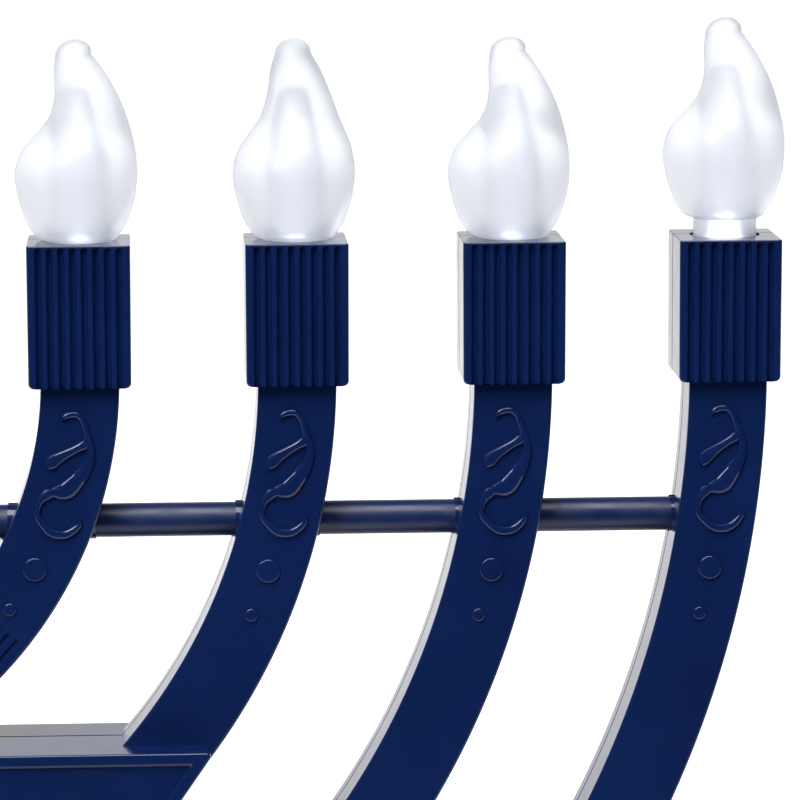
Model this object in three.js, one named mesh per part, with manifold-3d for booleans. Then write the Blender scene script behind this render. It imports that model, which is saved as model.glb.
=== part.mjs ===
// Electric menorah: nine twist-in flame bulbs on a two-part moulded body that stands on a weighted base.
// Millimetres, +Z up, the front faces -Y, origin on the table under the middle of the base.
import * as THREE from "three";
import { mergeGeometries, mergeVertices } from "three/addons/utils/BufferGeometryUtils.js";
import Module from "manifold-3d";

const wasm = await Module();
wasm.setup();

// Clearances
const TOUCH_GAP = 0.3; // between pieces that rest on or join each other
const TURN_GAP = 0.3; // round a piece that turns or slides
const PAST = 1; // how far a cutter runs past the face it opens

// Overall layout
const ARMS_PER_SIDE = 4;
const FIRST_ARM_RADIUS = 66; // centre line of the innermost arch
const ARM_PITCH = 36; // between neighbouring arms
const BASE_CLEARANCE = 8.65; // from the base's top up to the lowest point of the widest arch
const SHAMASH_RISE = 25; // how much higher the middle cup stands
const ARC_DROP = 22.8; // from the cup tops to the common centre of the arches
const BAR_DROP = 47.7; // from the cup tops to the cross bar's axis
const ARCH_SINK = 4.05; // how far the innermost arch's centre line dips below the body's flat top
const HUB_HEIGHT = 86.6;

// Moulded body: depths are counted from the parting plane between the two shells
const ARM_WIDTH = 13.1;
const ARM_FRONT = 8.4;
const ARM_BACK = 3.8;
const ARM_WALL = 1.5;
const HUB_HALF_WIDTH = 87.65; // at its top
const HUB_SIDE_SLOPE = 0.687; // how fast each side comes in, per unit of height
const HUB_BACK = 9.5;
const HUB_WALL = 2;
const HUB_BORDER = 2; // raised rim round the front panel
const PANEL_DEPTH = 0.8;
const FOOT_STEM_WIDTH = 30; // the lower stem, between body and base
const FOOT_STEM_FRONT = 11;
const FOOT_STEM_BACK = 7;

// Bulb: heights are counted from the top face of its cup
const NECK_RADIUS = 5.3;
const NECK_DEPTH = 7;
const NECK_WALL = 1;
const BULB_SEAT = 0.6; // height of the flame's shoulder when the bulb is screwed home
const BULB_FORWARD = 1.6; // bulb axis in front of the parting plane
const SCREW_PITCH = 3; // lift of a bulb for one turn
const FLAME_PROFILE = [
  // height, half width, lean to the right of the bulb's axis
  [0.6, 6.95, -0.35],
  [6.5, 9.45, -0.45],
  [11, 10.2, -0.7],
  [16.5, 8.9, 0.3],
  [22.5, 5.85, 1.6],
  [27, 4.7, 0.9],
  [31, 3, -0.6],
  [33.3, 0, -0.2],
];
const FLAME_SIDES = 12;
const CORE_TOP = 25.3; // the hollow inside the flame: a straight bore, then a cone with a small flat end
const CORE_SHOULDER = 14;
const CORE_TIP_RADIUS = 0.7;

// Socket and LED carrier
const SOCKET_WALL = 0.6;
const SOCKET_FLOOR = 1.6;
const CONTACT_RADIUS = 1.5;
const CARRIER_FLANGE = 1.2;
const CARRIER_PIN = 1.5;
const LED_RADIUS = 2.5;
const LED_HEIGHT = 6;

// Cup round the socket
const CUP_WALL = 1.3;
const CUP_TOP_WALL = 2;
const CUP_SIDE_ROOM = 1.05;
const CUP_FRONT_ROOM = 0.7;
const CUP_HEIGHT = 23.75;
const FLUTE_COUNT = 8;
const FLUTE_PITCH = 1.9;
const FLUTE_DEPTH = 0.8;
const FLUTE_END = 1.6; // plain band above and below the flutes

const SOCKET_BORE = NECK_RADIUS + TURN_GAP;
const SOCKET_RADIUS = SOCKET_BORE + SOCKET_WALL;
const CUP_WIDTH = 2 * (SOCKET_RADIUS + CUP_SIDE_ROOM + CUP_WALL);
const CUP_FRONT_WALL = CUP_WALL + FLUTE_DEPTH;
const CUP_FRONT = BULB_FORWARD + SOCKET_RADIUS + CUP_FRONT_ROOM + CUP_FRONT_WALL;
const CUP_BACK = SOCKET_RADIUS - BULB_FORWARD + TOUCH_GAP + CUP_WALL;

// Cross bar and wires
const BAR_RADIUS = 2.85;
const BAR_END = 2.8; // how far it runs past the last arm's centre line
const WIRE_RADIUS = 0.8;
const WIRE_FORWARD = 4.8; // wires in front of the parting plane, clear of the bar
const WIRE_END_DEPTH = 4; // how far below the body's top a wire that stops there ends

// Batteries and their compartment
const CELL_DIAMETER = 14.5;
const CELL_LENGTH = 50.5;
const CELL_COUNT = 3;
const CELL_SPACING = 0.5;
const CELL_BUTTON = 1.4;
const CONTACT_THICKNESS = 0.5;
const CONTACT_STUD = 1.5;
const TRAY_WALL = 1.2;
const DOOR_THICKNESS = 1.7;
const DOOR_LAP = 2; // door wider than the tray, each side
const DOOR_GRIP_HEIGHT = 0.8;
const TRAY_DROP = 6.6; // from the body's top to the tray
const HUB_FRONT_ROOM = 2.1; // between the tray and the front wall

const TRAY_DEPTH = TRAY_WALL + TOUCH_GAP + CELL_DIAMETER + 1.4;
const HUB_FRONT = 2 * HUB_WALL + TOUCH_GAP + HUB_FRONT_ROOM + TRAY_DEPTH + 0.2 - HUB_BACK;
const PARTING_Y = (HUB_FRONT - HUB_BACK) / 2;

// Electronics
const BOARD_SIZE = [16, 1.6, 26];
const BOARD_BESIDE = 0.8; // between the tray and the board
const BOARD_BEHIND = 3.2; // board face behind the parting plane
const SWITCH_TRAVEL = 4;
const SWITCH_KNOB = [6, 4.4];
const SWITCH_FLANGE = 1.6;
const INLET_SIZE = [9, 3.4];
const INLET_WALL = 0.5;

// Screws
const SCREW_SHANK = 1.3;
const SCREW_HEAD = 2.7;
const SCREW_HEAD_HEIGHT = 2;
const SCREW_LENGTH = 14;
const POST_WALL = 1.5;
const SCREW_RECESS = 6; // from the body's back to the screw head's seat
const UPPER_SCREW_INSET = [12, 10.6]; // from the body's slanted side and from its top
const LOWER_SCREW_BESIDE = 0.65; // between the tray and a lower screw's post
const LOWER_SCREW_RISE = 4; // above the tray's lower edge

// Base
const FOOT_HEIGHT = 1.5;
const FOOT_RADIUS = 5;
const FOOT_INSET = 10;
const PLATE_THICKNESS = 2.4;
const BASE_TOP_Z = 32;
const BASE_WALL = 2.2;
const BASE_CORNER = 6;
const BASE_TIERS = [
  // width, depth and top of each tier
  [132, 76, 15],
  [110, 58, 23],
  [84, 42, BASE_TOP_Z],
];
const BALLAST = [96, 44, 6];
const BASE_SCREW_X = 8;
const FOOT_BLOCK = 14; // height of the solid block at the stem's foot

// Heights that follow
const OUTER_RADIUS = FIRST_ARM_RADIUS + (ARMS_PER_SIDE - 1) * ARM_PITCH + ARM_WIDTH / 2;
const ARC_Z = BASE_TOP_Z + BASE_CLEARANCE + OUTER_RADIUS;
const CUP_TOP_Z = ARC_Z + ARC_DROP; // top face of the eight side cups
const BAR_Z = CUP_TOP_Z - BAR_DROP;
const HUB_TOP_Z = ARC_Z - FIRST_ARM_RADIUS + ARCH_SINK;
const HUB_BOTTOM_Z = HUB_TOP_Z - HUB_HEIGHT;
const ARM_END_Z = Math.max(ARC_Z, CUP_TOP_Z - CUP_HEIGHT + CUP_WALL) + PAST; // inside the cups
const STEM_FOOT_Z = BASE_TOP_Z + TOUCH_GAP;
const BULB_Y = PARTING_Y - BULB_FORWARD;
const HUB_REAR_Y = PARTING_Y + HUB_BACK;
const TRAY_TOP_Z = HUB_TOP_Z - TRAY_DROP;
const CELL_STEP = CELL_DIAMETER + CELL_SPACING;
const TRAY_INSIDE = [
  CELL_LENGTH + 2 * (2 * TOUCH_GAP + CONTACT_THICKNESS + CONTACT_STUD),
  CELL_COUNT * CELL_STEP + CELL_SPACING,
];
const TRAY_CENTRE_Z = TRAY_TOP_Z - TRAY_WALL - TRAY_INSIDE[1] / 2;
const TRAY_REAR_Y = HUB_REAR_Y - HUB_WALL - TOUCH_GAP;
const CELL_Y = TRAY_REAR_Y - TRAY_DEPTH + TRAY_WALL + TOUCH_GAP + CELL_DIAMETER / 2;
const DOOR_SIZE = [TRAY_INSIDE[0] + 2 * DOOR_LAP, TRAY_INSIDE[1] + 2 * DOOR_LAP];
const SWITCH_Z = TRAY_TOP_Z - 8;
const INLET_Z = TRAY_TOP_Z - 21;
const TRAY_HALF = TRAY_INSIDE.map((inside) => inside / 2 + TRAY_WALL);
const BOARD_X = -(TRAY_HALF[0] + BOARD_BESIDE + BOARD_SIZE[0] / 2);
const POST_RADIUS = SCREW_HEAD + TURN_GAP + POST_WALL;
const UPPER_SCREW = [
  HUB_HALF_WIDTH - HUB_SIDE_SLOPE * UPPER_SCREW_INSET[1] - UPPER_SCREW_INSET[0],
  HUB_TOP_Z - UPPER_SCREW_INSET[1],
];
const LOWER_SCREW = [
  TRAY_HALF[0] + LOWER_SCREW_BESIDE + POST_RADIUS,
  TRAY_CENTRE_Z - TRAY_HALF[1] + LOWER_SCREW_RISE,
];

const NAVY = { color: 0x14285a, roughness: 0.22, metalness: 0 };
const FROSTED = { color: 0xe8ecf4, roughness: 0.35, metalness: 0 };
const TINNED = { color: 0xc9ccd1, roughness: 0.35, metalness: 0.9 };
const STEEL = { color: 0x8c9096, roughness: 0.4, metalness: 0.9 };
const WHITE_PLASTIC = { color: 0xf0f0ea, roughness: 0.5, metalness: 0 };
const BLACK_PLASTIC = { color: 0x1a1b1e, roughness: 0.5, metalness: 0 };
const BOARD_GREEN = { color: 0x1f6b3a, roughness: 0.55, metalness: 0 };
const CELL_WRAP = { color: 0x3a3d42, roughness: 0.35, metalness: 0.3 };
const WIRE_RED = { color: 0xa8252a, roughness: 0.5, metalness: 0 };
const RUBBER = { color: 0x222326, roughness: 0.9, metalness: 0 };

// A closed geometry as a solid; triangles that collapse at a pole are dropped.
function toSolid(geometry) {
  const bare = geometry.index ? geometry.toNonIndexed() : geometry.clone();
  for (const name of Object.keys(bare.attributes)) if (name !== "position") bare.deleteAttribute(name);
  const merged = mergeVertices(bare, 1e-4);
  const source = merged.index.array;
  const kept = [];
  for (let i = 0; i < source.length; i += 3) {
    const [a, b, c] = source.subarray(i, i + 3);
    if (a !== b && b !== c && a !== c) kept.push(a, b, c);
  }
  return new wasm.Manifold(
    new wasm.Mesh({
      numProp: 3,
      vertProperties: merged.attributes.position.array,
      triVerts: new Uint32Array(kept),
    }),
  );
}

function toGeometry(solid) {
  const mesh = solid.getMesh();
  return new THREE.BufferGeometry()
    .setAttribute("position", new THREE.BufferAttribute(mesh.vertProperties, 3))
    .setIndex(new THREE.BufferAttribute(mesh.triVerts, 1))
    .toNonIndexed();
}

const join = (solids) => solids.reduce((whole, solid) => whole.add(solid));
const cut = (solid, cutters) => cutters.reduce((left, cutter) => left.subtract(cutter), solid);

function block(low, high) {
  const size = high.map((value, axis) => value - low[axis]);
  const middle = high.map((value, axis) => (value + low[axis]) / 2);
  return toSolid(new THREE.BoxGeometry(...size).translate(...middle));
}

// A shape drawn in x and z, as a slab from one y to another.
function slab(shape, fromY, toY, curveSegments = 12) {
  const options = { depth: toY - fromY, bevelEnabled: false, curveSegments };
  return toSolid(new THREE.ExtrudeGeometry(shape, options).rotateX(Math.PI / 2).translate(0, toY, 0));
}

// A shape drawn in x and y, as a prism from one z to another.
function prism(shape, fromZ, toZ, curveSegments = 2) {
  const options = { depth: toZ - fromZ, bevelEnabled: false, curveSegments };
  return toSolid(new THREE.ExtrudeGeometry(shape, options).translate(0, 0, fromZ));
}

// Turned about z; the profile is a list of [radius, height], bottom first where it is the outside.
function turned(profile, sides) {
  const points = profile.map(([radius, height]) => new THREE.Vector2(radius, height));
  return toSolid(new THREE.LatheGeometry(points, sides).rotateX(Math.PI / 2));
}

function rodX(radius, halfLength, y, z, sides = 12) {
  return toSolid(
    new THREE.CylinderGeometry(radius, radius, 2 * halfLength, sides).rotateZ(Math.PI / 2).translate(0, y, z),
  );
}

function rodY(radius, fromY, toY, x, z, sides = 8) {
  const geometry = new THREE.CylinderGeometry(radius, radius, toY - fromY, sides);
  return toSolid(geometry.translate(x, (fromY + toY) / 2, z));
}

function rodZ(radius, fromZ, toZ, x, y, sides = 12) {
  const geometry = new THREE.CylinderGeometry(radius, radius, toZ - fromZ, sides).rotateX(Math.PI / 2);
  return toSolid(geometry.translate(x, y, (fromZ + toZ) / 2));
}

function polygon(points) {
  return new THREE.Shape(points.map(([x, y]) => new THREE.Vector2(x, y)));
}

function roundedRectangle(width, depth, corner) {
  const [x, y] = [width / 2, depth / 2];
  const shape = new THREE.Shape();
  shape.moveTo(corner - x, -y).lineTo(x - corner, -y);
  shape.absarc(x - corner, corner - y, corner, -Math.PI / 2, 0).lineTo(x, y - corner);
  shape.absarc(x - corner, y - corner, corner, 0, Math.PI / 2).lineTo(corner - x, y);
  shape.absarc(corner - x, y - corner, corner, Math.PI / 2, Math.PI).lineTo(-x, corner - y);
  shape.absarc(corner - x, corner - y, corner, Math.PI, 1.5 * Math.PI);
  return shape;
}

const armRadius = (arm) => FIRST_ARM_RADIUS + (arm - 1) * ARM_PITCH;
const archSteps = (arm) => 8 + 4 * arm;
const arms = Array.from({ length: ARMS_PER_SIDE }, (_, index) => index + 1);

// The nine lights: name, place across the menorah and height of the cup's top face.
// The last bulb on the right is turned out by one turn, so it stands one pitch of its thread higher.
const lights = [
  ...arms
    .map((arm) => ({ name: `left_${arm}`, x: -armRadius(arm), top: CUP_TOP_Z, turn: Math.PI, lift: 0 }))
    .reverse(),
  { name: "shamash", x: 0, top: CUP_TOP_Z + SHAMASH_RISE, turn: 0, lift: 0 },
  ...arms.map((arm) => ({
    name: `right_${arm}`,
    x: armRadius(arm),
    top: CUP_TOP_Z,
    turn: 0,
    lift: arm === ARMS_PER_SIDE ? SCREW_PITCH : 0,
  })),
];

// An arch that joins a left arm to its right arm: half a ring with straight tops.
function archShape(radius, halfWidth, topZ) {
  const [outer, inner] = [radius + halfWidth, radius - halfWidth];
  const shape = new THREE.Shape();
  shape.moveTo(outer, topZ).lineTo(outer, ARC_Z);
  shape.absarc(0, ARC_Z, outer, 0, -Math.PI, true).lineTo(-outer, topZ);
  shape.lineTo(-inner, topZ).lineTo(-inner, ARC_Z);
  shape.absarc(0, ARC_Z, inner, -Math.PI, 0, false).lineTo(inner, topZ);
  return shape;
}

// The body's outline, drawn in by inset on all sides.
function hubShape(inset) {
  const side = inset * Math.hypot(1, HUB_SIDE_SLOPE);
  const [top, bottom] = [HUB_TOP_Z - inset, HUB_BOTTOM_Z + inset];
  const halfAt = (z) => HUB_HALF_WIDTH - HUB_SIDE_SLOPE * (HUB_TOP_Z - z) - side;
  return polygon([
    [halfAt(top), top],
    [-halfAt(top), top],
    [-halfAt(bottom), bottom],
    [halfAt(bottom), bottom],
  ]);
}

function rectangle(halfWidth, fromZ, toZ) {
  return polygon([
    [-halfWidth, fromZ],
    [halfWidth, fromZ],
    [halfWidth, toZ],
    [-halfWidth, toZ],
  ]);
}

// Depths of one shell, counted from the parting plane; side is -1 for the front and +1 for the rear.
const FRONT = { side: -1, arm: ARM_FRONT, hub: HUB_FRONT, foot: FOOT_STEM_FRONT, cup: CUP_FRONT };
const REAR = { side: 1, arm: ARM_BACK, hub: HUB_BACK, foot: FOOT_STEM_BACK, cup: CUP_BACK };

// A slab of one shell, from the parting plane out to a depth.
function half(shell, shape, depth, steps) {
  const near = PARTING_Y + (shell.side * TOUCH_GAP) / 2;
  const far = PARTING_Y + shell.side * depth;
  return slab(shape, Math.min(near, far), Math.max(near, far), steps);
}

// The space inside a shell, open at the parting plane.
function hollow(shell, shape, depth, steps) {
  const [near, far] = [PARTING_Y - shell.side * PAST, PARTING_Y + shell.side * depth];
  return slab(shape, Math.min(near, far), Math.max(near, far), steps);
}

function shellOutside(shell) {
  const stemTop = CUP_TOP_Z + SHAMASH_RISE - CUP_HEIGHT + CUP_WALL / 2;
  const solids = [
    half(shell, hubShape(0), shell.hub),
    half(shell, rectangle(ARM_WIDTH / 2, HUB_TOP_Z - PAST, stemTop), shell.arm),
    half(shell, rectangle(FOOT_STEM_WIDTH / 2, STEM_FOOT_Z, HUB_BOTTOM_Z + PAST), shell.foot),
  ];
  for (const arm of arms)
    solids.push(half(shell, archShape(armRadius(arm), ARM_WIDTH / 2, ARM_END_Z), shell.arm, archSteps(arm)));
  for (const { x, top } of lights) {
    const cup = polygon([
      [x - CUP_WIDTH / 2, top - CUP_HEIGHT],
      [x + CUP_WIDTH / 2, top - CUP_HEIGHT],
      [x + CUP_WIDTH / 2, top],
      [x - CUP_WIDTH / 2, top],
    ]);
    solids.push(half(shell, cup, shell.cup));
  }
  return join(solids);
}

function shellInside(shell) {
  const cupWall = shell === FRONT ? CUP_FRONT_WALL : CUP_WALL;
  const stemTop = CUP_TOP_Z + SHAMASH_RISE - CUP_HEIGHT + CUP_WALL + PAST;
  const channel = ARM_WIDTH / 2 - ARM_WALL;
  const armDepth = shell.arm - ARM_WALL;
  const spaces = [
    hollow(shell, hubShape(HUB_WALL), shell.hub - HUB_WALL),
    hollow(shell, rectangle(channel, HUB_TOP_Z - HUB_WALL - PAST, stemTop), armDepth),
    hollow(
      shell,
      rectangle(FOOT_STEM_WIDTH / 2 - HUB_WALL, STEM_FOOT_Z + HUB_WALL, HUB_BOTTOM_Z + HUB_WALL + PAST),
      shell.foot - HUB_WALL,
    ),
  ];
  for (const arm of arms)
    spaces.push(hollow(shell, archShape(armRadius(arm), channel, ARM_END_Z), armDepth, archSteps(arm)));
  for (const { x, top } of lights) {
    const [left, right] = [x - CUP_WIDTH / 2 + CUP_WALL, x + CUP_WIDTH / 2 - CUP_WALL];
    const [low, high] = [top - CUP_HEIGHT + CUP_WALL, top - CUP_TOP_WALL];
    const room = polygon([
      [left, low],
      [right, low],
      [right, high],
      [left, high],
    ]);
    spaces.push(hollow(shell, room, shell.cup - cupWall));
  }
  return join(spaces);
}

function bulbHoles() {
  return lights.map(({ x, top }) =>
    rodZ(NECK_RADIUS + 2 * TURN_GAP, top - CUP_TOP_WALL - PAST, top + PAST, x, BULB_Y),
  );
}

const lastArmAtBar = Math.sqrt(armRadius(ARMS_PER_SIDE) ** 2 - (ARC_Z - BAR_Z) ** 2);
const barHalfLength = lastArmAtBar + BAR_END;
const barHole = () => rodX(BAR_RADIUS + TOUCH_GAP, barHalfLength + TOUCH_GAP, PARTING_Y, BAR_Z);

// The grooves down the front of one cup, as a set of bars that cut it.
function cupFlutes({ x, top }) {
  const bars = [];
  const length = CUP_HEIGHT - 2 * FLUTE_END;
  for (let i = 0; i < FLUTE_COUNT; i++) {
    const across = x + (i - (FLUTE_COUNT - 1) / 2) * FLUTE_PITCH;
    const bar = new THREE.BoxGeometry(FLUTE_PITCH / 2, 2 * FLUTE_DEPTH, length);
    bars.push(bar.translate(across, PARTING_Y - CUP_FRONT, top - CUP_HEIGHT / 2));
  }
  return toSolid(mergeGeometries(bars));
}

const screwPlaces = [UPPER_SCREW, LOWER_SCREW].flatMap(([x, z]) => [
  [x, z],
  [-x, z],
]);
const seatY = HUB_REAR_Y - SCREW_RECESS;

function frontShell() {
  const postRadius = SCREW_SHANK + TURN_GAP + POST_WALL;
  const hubFrontY = PARTING_Y - HUB_FRONT;
  const meetY = PARTING_Y - TOUCH_GAP / 2;
  const posts = screwPlaces.map(([x, z]) => rodY(postRadius, hubFrontY + HUB_WALL / 2, meetY, x, z));
  const stemBlock = block(
    [-FOOT_STEM_WIDTH / 2 + HUB_WALL / 2, PARTING_Y - FOOT_STEM_FRONT + HUB_WALL / 2, STEM_FOOT_Z],
    [FOOT_STEM_WIDTH / 2 - HUB_WALL / 2, meetY, STEM_FOOT_Z + FOOT_BLOCK],
  );
  const pilots = screwPlaces.map(([x, z]) =>
    rodY(SCREW_SHANK + TURN_GAP, seatY - SCREW_LENGTH - TOUCH_GAP, PARTING_Y + PAST, x, z),
  );
  const stemPilots = [-BASE_SCREW_X, BASE_SCREW_X].map((x) =>
    rodZ(SCREW_SHANK + TURN_GAP, STEM_FOOT_Z - PAST, STEM_FOOT_Z + FOOT_BLOCK - 1.5, x, baseScrewY, 8),
  );
  const panel = slab(hubShape(HUB_BORDER), hubFrontY - PAST, hubFrontY + PANEL_DEPTH);
  const walls = shellOutside(FRONT).subtract(shellInside(FRONT));
  return cut(join([walls, ...posts, stemBlock]), [
    ...pilots,
    ...stemPilots,
    panel,
    barHole(),
    ...bulbHoles(),
    ...lights.map(cupFlutes),
  ]);
}

function rearShell() {
  const meetY = PARTING_Y + TOUCH_GAP / 2;
  const posts = screwPlaces.map(([x, z]) => rodY(POST_RADIUS, meetY, HUB_REAR_Y - HUB_WALL / 2, x, z));
  const bores = screwPlaces.flatMap(([x, z]) => [
    rodY(SCREW_SHANK + TURN_GAP, PARTING_Y - PAST, HUB_REAR_Y + PAST, x, z),
    rodY(SCREW_HEAD + TURN_GAP, seatY, HUB_REAR_Y + PAST, x, z),
  ]);
  const wall = [HUB_REAR_Y - HUB_WALL - PAST, HUB_REAR_Y + PAST];
  const opening = (halfWidth, halfHeight, x, z) =>
    block([x - halfWidth, wall[0], z - halfHeight], [x + halfWidth, wall[1], z + halfHeight]);
  const walls = shellOutside(REAR).subtract(shellInside(REAR));
  return cut(join([walls, ...posts]), [
    ...bores,
    opening(DOOR_SIZE[0] / 2 + TURN_GAP, DOOR_SIZE[1] / 2 + TURN_GAP, 0, TRAY_CENTRE_Z),
    opening(
      (SWITCH_KNOB[0] + SWITCH_TRAVEL) / 2 + TURN_GAP,
      SWITCH_KNOB[1] / 2 + TURN_GAP,
      BOARD_X,
      SWITCH_Z,
    ),
    opening(INLET_SIZE[0] / 2 + TOUCH_GAP, INLET_SIZE[1] / 2 + TOUCH_GAP, BOARD_X, INLET_Z),
    barHole(),
    ...bulbHoles(),
  ]);
}

// A flame-shaped hollow bulb about its own axis, standing at the height it has when screwed home.
function flame() {
  const bore = NECK_RADIUS - NECK_WALL;
  const profile = [
    [0, CORE_TOP],
    [CORE_TIP_RADIUS, CORE_TOP],
    [bore, CORE_SHOULDER],
    [bore, -NECK_DEPTH],
    [NECK_RADIUS, -NECK_DEPTH],
    [NECK_RADIUS, BULB_SEAT],
    ...FLAME_PROFILE.map(([height, halfWidth]) => [halfWidth, height]),
  ];
  const points = profile.map(([radius, height]) => new THREE.Vector2(radius, height));
  const geometry = new THREE.LatheGeometry(points, FLAME_SIDES).rotateX(Math.PI / 2);
  const position = geometry.attributes.position;
  // only the outside leans: its rings come after the neck's foot in the profile
  const firstLeaning = profile.length - FLAME_PROFILE.length;
  for (let i = 0; i < position.count; i++) {
    const row = (i % profile.length) - firstLeaning;
    if (row >= 0) position.setX(i, position.getX(i) + FLAME_PROFILE[row][2]);
  }
  return toSolid(geometry);
}

// The LED in its holder: a plug inside the neck, a flange under it and a contact pin.
const carrierTop = -NECK_DEPTH / 2;
const flangeTop = -NECK_DEPTH - TOUCH_GAP;
const pinEnd = flangeTop - CARRIER_FLANGE - CARRIER_PIN;

function ledCarrier() {
  const plug = NECK_RADIUS - NECK_WALL - TURN_GAP;
  const ledTop = carrierTop + LED_HEIGHT;
  return turned(
    [
      [0, pinEnd],
      [CONTACT_RADIUS, pinEnd],
      [CONTACT_RADIUS, flangeTop - CARRIER_FLANGE],
      [NECK_RADIUS, flangeTop - CARRIER_FLANGE],
      [NECK_RADIUS, flangeTop],
      [plug, flangeTop],
      [plug, carrierTop],
      [LED_RADIUS, carrierTop],
      [LED_RADIUS, ledTop - LED_RADIUS],
      [LED_RADIUS * 0.7, ledTop - LED_RADIUS * 0.3],
      [0, ledTop],
    ],
    8,
  );
}

// The socket: a metal sleeve that stands on the cup's floor, with a contact stud up its middle.
function socket() {
  const [rim, foot] = [-CUP_TOP_WALL - TOUCH_GAP, -CUP_HEIGHT + CUP_WALL + TOUCH_GAP];
  return turned(
    [
      [0, foot],
      [SOCKET_RADIUS, foot],
      [SOCKET_RADIUS, rim],
      [SOCKET_BORE, rim],
      [SOCKET_BORE, foot + SOCKET_FLOOR],
      [CONTACT_RADIUS, foot + SOCKET_FLOOR],
      [CONTACT_RADIUS, pinEnd - TOUCH_GAP],
      [0, pinEnd - TOUCH_GAP],
    ],
    12,
  );
}

const wirePoint = (x, z) => new THREE.Vector3(x, PARTING_Y - WIRE_FORWARD, z);
const socketFoot = (top) => top - CUP_HEIGHT + CUP_WALL + TOUCH_GAP;

// The lead down an arm, from its socket round the arch to an angle measured from the right arm's side.
function archWire(arm, fromAngle, toAngle) {
  const radius = armRadius(arm);
  const end = socketFoot(CUP_TOP_Z) - TOUCH_GAP;
  const arch = new THREE.EllipseCurve(0, ARC_Z, radius, radius, -fromAngle, -toAngle, true);
  const points = arch.getPoints(archSteps(arm)).map(({ x, y }) => wirePoint(x, y));
  if (fromAngle === 0) points.unshift(wirePoint(radius, end));
  if (toAngle === Math.PI) points.push(wirePoint(-radius, end));
  return wireAlong(points);
}

function wireAlong(points) {
  const path = new THREE.CatmullRomCurve3(points, false, "centripetal");
  const section = new THREE.Shape().absarc(0, 0, WIRE_RADIUS, 0, 2 * Math.PI);
  return toSolid(
    new THREE.ExtrudeGeometry(section, { steps: points.length, curveSegments: 3, extrudePath: path }),
  );
}

function stemWire() {
  const top = socketFoot(CUP_TOP_Z + SHAMASH_RISE) - TOUCH_GAP;
  const bottom = ARC_Z - FIRST_ARM_RADIUS + 3 * WIRE_RADIUS;
  return wireAlong([wirePoint(0, top), wirePoint(0, (top + bottom) / 2), wirePoint(0, bottom)]);
}

// An AA cell standing on its flat end.
function cell() {
  const shoulder = CELL_LENGTH - CELL_BUTTON;
  return turned(
    [
      [0, 0],
      [CELL_DIAMETER / 2, 0],
      [CELL_DIAMETER / 2, shoulder],
      [2 * CELL_BUTTON, shoulder],
      [2 * CELL_BUTTON, CELL_LENGTH],
      [0, CELL_LENGTH],
    ],
    16,
  );
}

const cellZ = (index) => TRAY_CENTRE_Z + (index - (CELL_COUNT - 1) / 2) * CELL_STEP;
const cells = Array.from({ length: CELL_COUNT }, (_, index) => index);

// The contact strip at one end of the cells: a plate with a stud for each cell.
function contactStrip(side) {
  const outerX = side * (TRAY_INSIDE[0] / 2 - TOUCH_GAP);
  const innerX = outerX - side * CONTACT_THICKNESS;
  const plate = block(
    [Math.min(outerX, innerX), CELL_Y - CELL_DIAMETER / 4, cellZ(0) - CELL_DIAMETER / 2],
    [Math.max(outerX, innerX), CELL_Y + CELL_DIAMETER / 4, cellZ(CELL_COUNT - 1) + CELL_DIAMETER / 2],
  );
  const studMiddle = innerX - (side * CONTACT_STUD) / 2 + (side * CONTACT_THICKNESS) / 2;
  const studs = cells.map((index) => {
    const stud = rodX(CONTACT_STUD, (CONTACT_STUD + CONTACT_THICKNESS) / 2, CELL_Y, cellZ(index), 8);
    return stud.translate([studMiddle, 0, 0]);
  });
  return join([plate, ...studs]);
}

function batteryTray() {
  const [halfWidth, halfHeight] = TRAY_INSIDE.map((inside) => inside / 2);
  const [wide, high] = TRAY_HALF;
  const floorY = TRAY_REAR_Y - TRAY_DEPTH;
  const outside = block([-wide, floorY, TRAY_CENTRE_Z - high], [wide, TRAY_REAR_Y, TRAY_CENTRE_Z + high]);
  const inside = block(
    [-halfWidth, floorY + TRAY_WALL, TRAY_CENTRE_Z - halfHeight],
    [halfWidth, TRAY_REAR_Y + PAST, TRAY_CENTRE_Z + halfHeight],
  );
  return outside.subtract(inside);
}

function batteryDoor() {
  const [halfWidth, halfHeight] = DOOR_SIZE.map((size) => size / 2);
  const [innerY, outerY] = [HUB_REAR_Y - DOOR_THICKNESS, HUB_REAR_Y];
  const panel = block(
    [-halfWidth, innerY, TRAY_CENTRE_Z - halfHeight],
    [halfWidth, outerY, TRAY_CENTRE_Z + halfHeight],
  );
  const ribs = [1, 2, 3].map((row) => {
    const z = TRAY_CENTRE_Z + halfHeight - 3 * row;
    return block([-9, outerY - PAST, z - 0.5], [9, outerY + DOOR_GRIP_HEIGHT, z + 0.5]);
  });
  return join([panel, ...ribs]);
}

const boardRearY = PARTING_Y + BOARD_BEHIND + BOARD_SIZE[1];

function circuitBoard() {
  const middleZ = (SWITCH_Z + INLET_Z) / 2;
  const [halfWidth, halfHeight] = [BOARD_SIZE[0] / 2, BOARD_SIZE[2] / 2];
  const board = block(
    [BOARD_X - halfWidth, boardRearY - BOARD_SIZE[1], middleZ - halfHeight],
    [BOARD_X + halfWidth, boardRearY, middleZ + halfHeight],
  );
  const chip = block(
    [BOARD_X - 3, boardRearY - BOARD_SIZE[1] - 1.2, middleZ - 3],
    [BOARD_X + 3, boardRearY - BOARD_SIZE[1] / 2, middleZ + 3],
  );
  return board.add(chip);
}

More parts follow.
